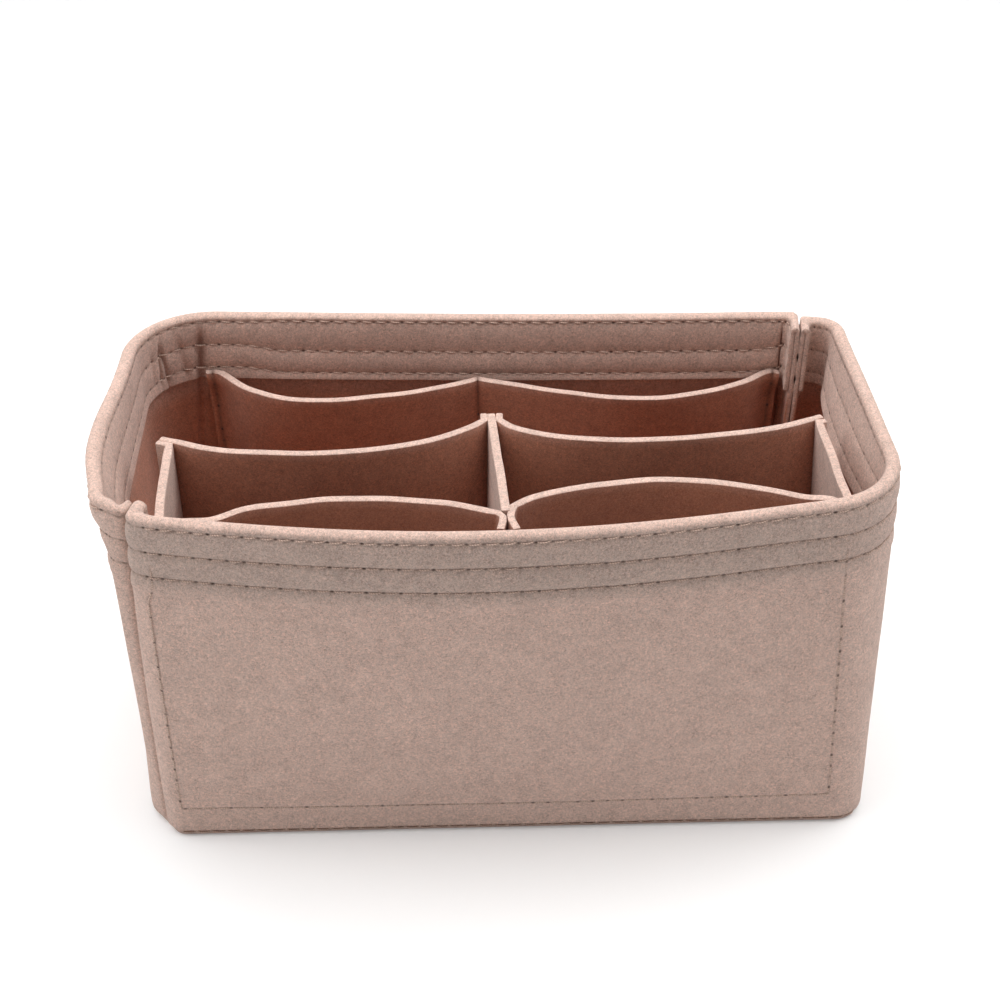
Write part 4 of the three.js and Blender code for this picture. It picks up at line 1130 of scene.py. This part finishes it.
def makePanelThread(name, node, turned):
    leftAt, rightAt, top = panelRuns[turned]
    low = rows["bottom"]
    upRuns = stitchRuns(low + stitch["pitch"] * 0.3, top)
    way = [(leftAt(z), z, z) for z in upRuns[::-1]]
    way += [(x, low, x) for x in stitchRuns(leftAt(low), rightAt(low))] + [(rightAt(z), z, z) for z in upRuns]
    sign = 1 if turned else -1
    centres, outwards = [], []
    for x, z, run in way:
        depth = max(0, rowPinch(x, z)) + stitchDive(run) - stitch["radius"] * stitch["runProud"]
        centres.append((x, longFace(turned, x, z, 0) - sign * depth, z))
        slope = (longFace(turned, x + 1, z, 0) - longFace(turned, x - 1, z, 0)) / 2
        outwards.append((-slope * sign, sign, 0))
    makeThread(name, node, centres, np.array(outwards, float))


# A place on one stretch of a panel's plan, with its normal there
def onStretch(pathAt, stretch, share):
    def at(z):
        curve = smoothPath(pathAt(z)[stretch])
        i = int(round(share * (len(curve) - 1)))
        return curve[i], pathNormals(curve)[i]
    return at


def makeUprightThread(name, node, placeAt, side, depth, low, high):
    centres, outwards = [], []
    for z in stitchRuns(low, high):
        point, normal = placeAt(z)
        reach = depth - stitchDive(z) + stitch["radius"] * stitch["seamProud"]
        centres.append((*(point + normal * side * reach), z))
        outwards.append((*(normal * side), 0))
    makeThread(name, node, centres, np.array(outwards))


def makeSeamThread(name, node, turned):
    centres, outwards = [], []
    run = mix(stripMark[turned]["endFlap"], stripRun[turned][-1], 0.5)
    for z in stitchRuns(wallBottom + stitch["wallSeamStart"], rowHeights[0]):
        lining = liningAt(z)
        depth = lining + stitch["radius"] * stitch["seamProud"] - stitchDive(z)
        centres.append(onStrip(turned, run, z, depth)[0])
        outwards.append(onStrip(turned, run, z, lining + 3)[0] - onStrip(turned, run, z, lining)[0])
    makeThread(name, node, centres, np.array(outwards))


def makeBaseThread():
    ring = feltOutline(box["baseInset"] - stitch["baseGap"] - stitch["radius"])
    run = runLength(ring)
    runs = stitchRuns(stitch["baseMargin"], run[-1] - stitch["baseMargin"])
    centres = sample(runs, run, ring)
    inwards = unit(sample(runs, run, feltOutline(box["baseInset"] + 1)) - centres)
    centres = centres + inwards * stitchDive(runs)[:, None]
    makeThread("baseSeamThread", "base_seam_thread", np.column_stack([centres, runs * 0 + thickness / 2]),
               np.column_stack([-inwards, runs * 0]))


makeBase()
makeWall("wallFrontRight", "wall_front_right", False)
makeWall("wallBackLeft", "wall_back_left", True)
print("base and walls made")

leftPocketPath, leftMiddlePath = frontPocketPath(-1, "leftPocket"), middlePath(-1, "leftMiddle")
pocket = dict(pressedAt=(1,), shaded=0.42)
gusset = dict(pressedAt=(1,), insideShadeFrom=crosswise)
middlePanel = dict(pressedAt=(0, 2))
panels = [
    ("frontPocketLeft", "front_pocket_left", leftPocketPath, pocket),
    ("frontPocketRight", "front_pocket_right", frontPocketPath(1, "rightPocket"), pocket),
    ("gussetLeft", "gusset_left", gussetPath(-1), gusset),
    ("gussetRight", "gusset_right", gussetPath(1), gusset),
    ("middlePanelLeft", "middle_panel_left", leftMiddlePath, middlePanel),
    ("middlePanelRight", "middle_panel_right", middlePath(1, "rightMiddle"), middlePanel),
    ("dividerPanel", "divider", dividerPath, dict(insideShadeFrom=crosswise)),
]
for seed, (name, node, pathAt, settings) in enumerate(panels, 1):
    makePanel(name, node, pathAt, boxTop, float(seed), **settings)
makePanel("backPocketPanel", "back_pocket_panel", backPocketPath, backPocketTop, 8.0, sewnFelt, sewnSide=-1)
print("panels made")

for wallName, nodeName, turned in (("FrontRight", "front_right", False), ("BackLeft", "back_left", True)):
    for i, z in enumerate(rowHeights):
        for where in ("outside", "inside"):
            makeRowThread(f"hemThread{wallName}{i + 1}{where.title()}",
                          f"hem_thread_{nodeName}_{i + 1}_{where}", turned, z, where == "inside")
makePanelThread("frontPanelThread", "front_panel_thread", False)
makePanelThread("backPanelThread", "back_panel_thread", True)
uprights = [
    ("cornerThreadLeft", "corner_thread_left", onStretch(gussetPath(-1), 1, 0.5), 1),
    ("cornerThreadRight", "corner_thread_right", onStretch(gussetPath(1), 1, 0.5), -1),
    ("dividerThreadBack", "divider_thread_back", onStretch(leftMiddlePath, 2, 0.5), 1),
    ("dividerThreadFront", "divider_thread_front", onStretch(leftPocketPath, 1, 0.4), -1),
]
margin = stitch["seamMargin"]
for name, node, placeAt, side in uprights:
    makeUprightThread(name, node, placeAt, side, ends["pressed"] / 2, wallBottom + margin, boxTop - margin)
makeUprightThread("backPocketCenterThread", "back_pocket_center_thread",
                  onStretch(backPocketPath, 0, 1.0), -1, thickness / 2 - backPocket["groove"],
                  rows["bottom"], backPocketTop - margin)
makeSeamThread("wallSeamThreadBack", "wall_seam_thread_back", False)
makeSeamThread("wallSeamThreadFront", "wall_seam_thread_front", True)
makeBaseThread()
print("threads made")


# Floor, light and camera
studio = dict(floor=0.86, floorLift=0.16, floorReach=3.0, roughness=0.9, world=0.26)
view = dict(place=(-14.0, -382.5, 356.6), yaw=2.54, tilt=35.18, roll=0.62, focal=1496.0, pixels=1000,
            sensor=36.0)
# Each lamp as (name, place, target, size, power)
lamps = [
    ("overheadSoftbox", (0.0, 0.16, 1.2), (0, 0, 0.1), (1.5, 1.1), 17.2),
    ("leftSoftbox", (-1.0, -0.1, 0.85), (0, 0, 0.06), (0.7, 0.9), 5.0),
    ("rightSoftbox", (1.0, 0.2, 0.85), (0, 0, 0.06), (0.7, 0.9), 4.2),
    ("frontFill", (0.0, -1.3, 0.4), (0, 0, 0.06), (1.2, 0.4), 0.12),
]


def makeFloor():
    reach = studio["floorReach"]
    mesh = bpy.data.meshes.new("studioFloor")
    corners = [(x * reach, y * reach, 0) for x, y in ((-1, -1), (1, -1), (1, 1), (-1, 1))]
    mesh.from_pydata(corners, [], [(0, 1, 2, 3)])
    material, tree, shader = newMaterial("floorPaper", {
        "Base Color": (studio["floor"],) * 3, "Roughness": studio["roughness"], "Specular IOR Level": 0.0,
        "Emission Color": (1, 1, 1),
    })
    # the camera sees the paper a little brighter than it lights the felt
    seen = tree.nodes.new("ShaderNodeLightPath").outputs["Is Camera Ray"]
    feed(tree, shader.inputs["Emission Strength"], times(tree, seen, studio["floorLift"]))
    mesh.materials.append(material)
    floor = addObject("studioFloor", mesh)


def makeLamp(name, position, target, size, power):
    light = bpy.data.lights.new(name, "AREA")
    light.shape = "RECTANGLE"
    light.size, light.size_y = size
    light.energy = power
    lamp = addObject(name, light)
    lamp.location = position
    lamp.rotation_mode = "QUATERNION"
    lamp.rotation_quaternion = (Vector(target) - Vector(position)).to_track_quat("-Z", "Y")


def makeCamera():
    cameraData = bpy.data.cameras.new("camera")
    cameraData.sensor_width = view["sensor"]
    cameraData.lens = view["sensor"] * view["focal"] / view["pixels"]
    cameraData.clip_start, cameraData.clip_end = 0.01, 50
    camera = addObject("camera", cameraData)
    yaw, tilt, roll = (math.radians(view[key]) for key in ("yaw", "tilt", "roll"))
    ahead = Vector((math.sin(yaw) * math.cos(tilt), math.cos(yaw) * math.cos(tilt), -math.sin(tilt)))
    right = Vector((math.cos(yaw), -math.sin(yaw), 0))
    up = right.cross(ahead)
    turnedRight = right * math.cos(roll) + up * math.sin(roll)
    turnedUp = up * math.cos(roll) - right * math.sin(roll)
    camera.rotation_mode = "QUATERNION"
    camera.rotation_quaternion = Matrix((turnedRight, turnedUp, -ahead)).transposed().to_quaternion()
    camera.location = [(view["place"][i] + middle[i]) * mm for i in range(3)]
    bpy.context.scene.camera = camera


makeFloor()
for lampValues in lamps:
    makeLamp(*lampValues)
makeCamera()
world = bpy.data.worlds.new("studioWorld")
bpy.context.scene.world = world
world.use_nodes = True
background = world.node_tree.nodes["Background"].inputs
background["Color"].default_value = (1, 1, 1, 1)
background["Strength"].default_value = studio["world"]
bpy.context.scene.view_settings.view_transform = "Standard"
print("studio made")
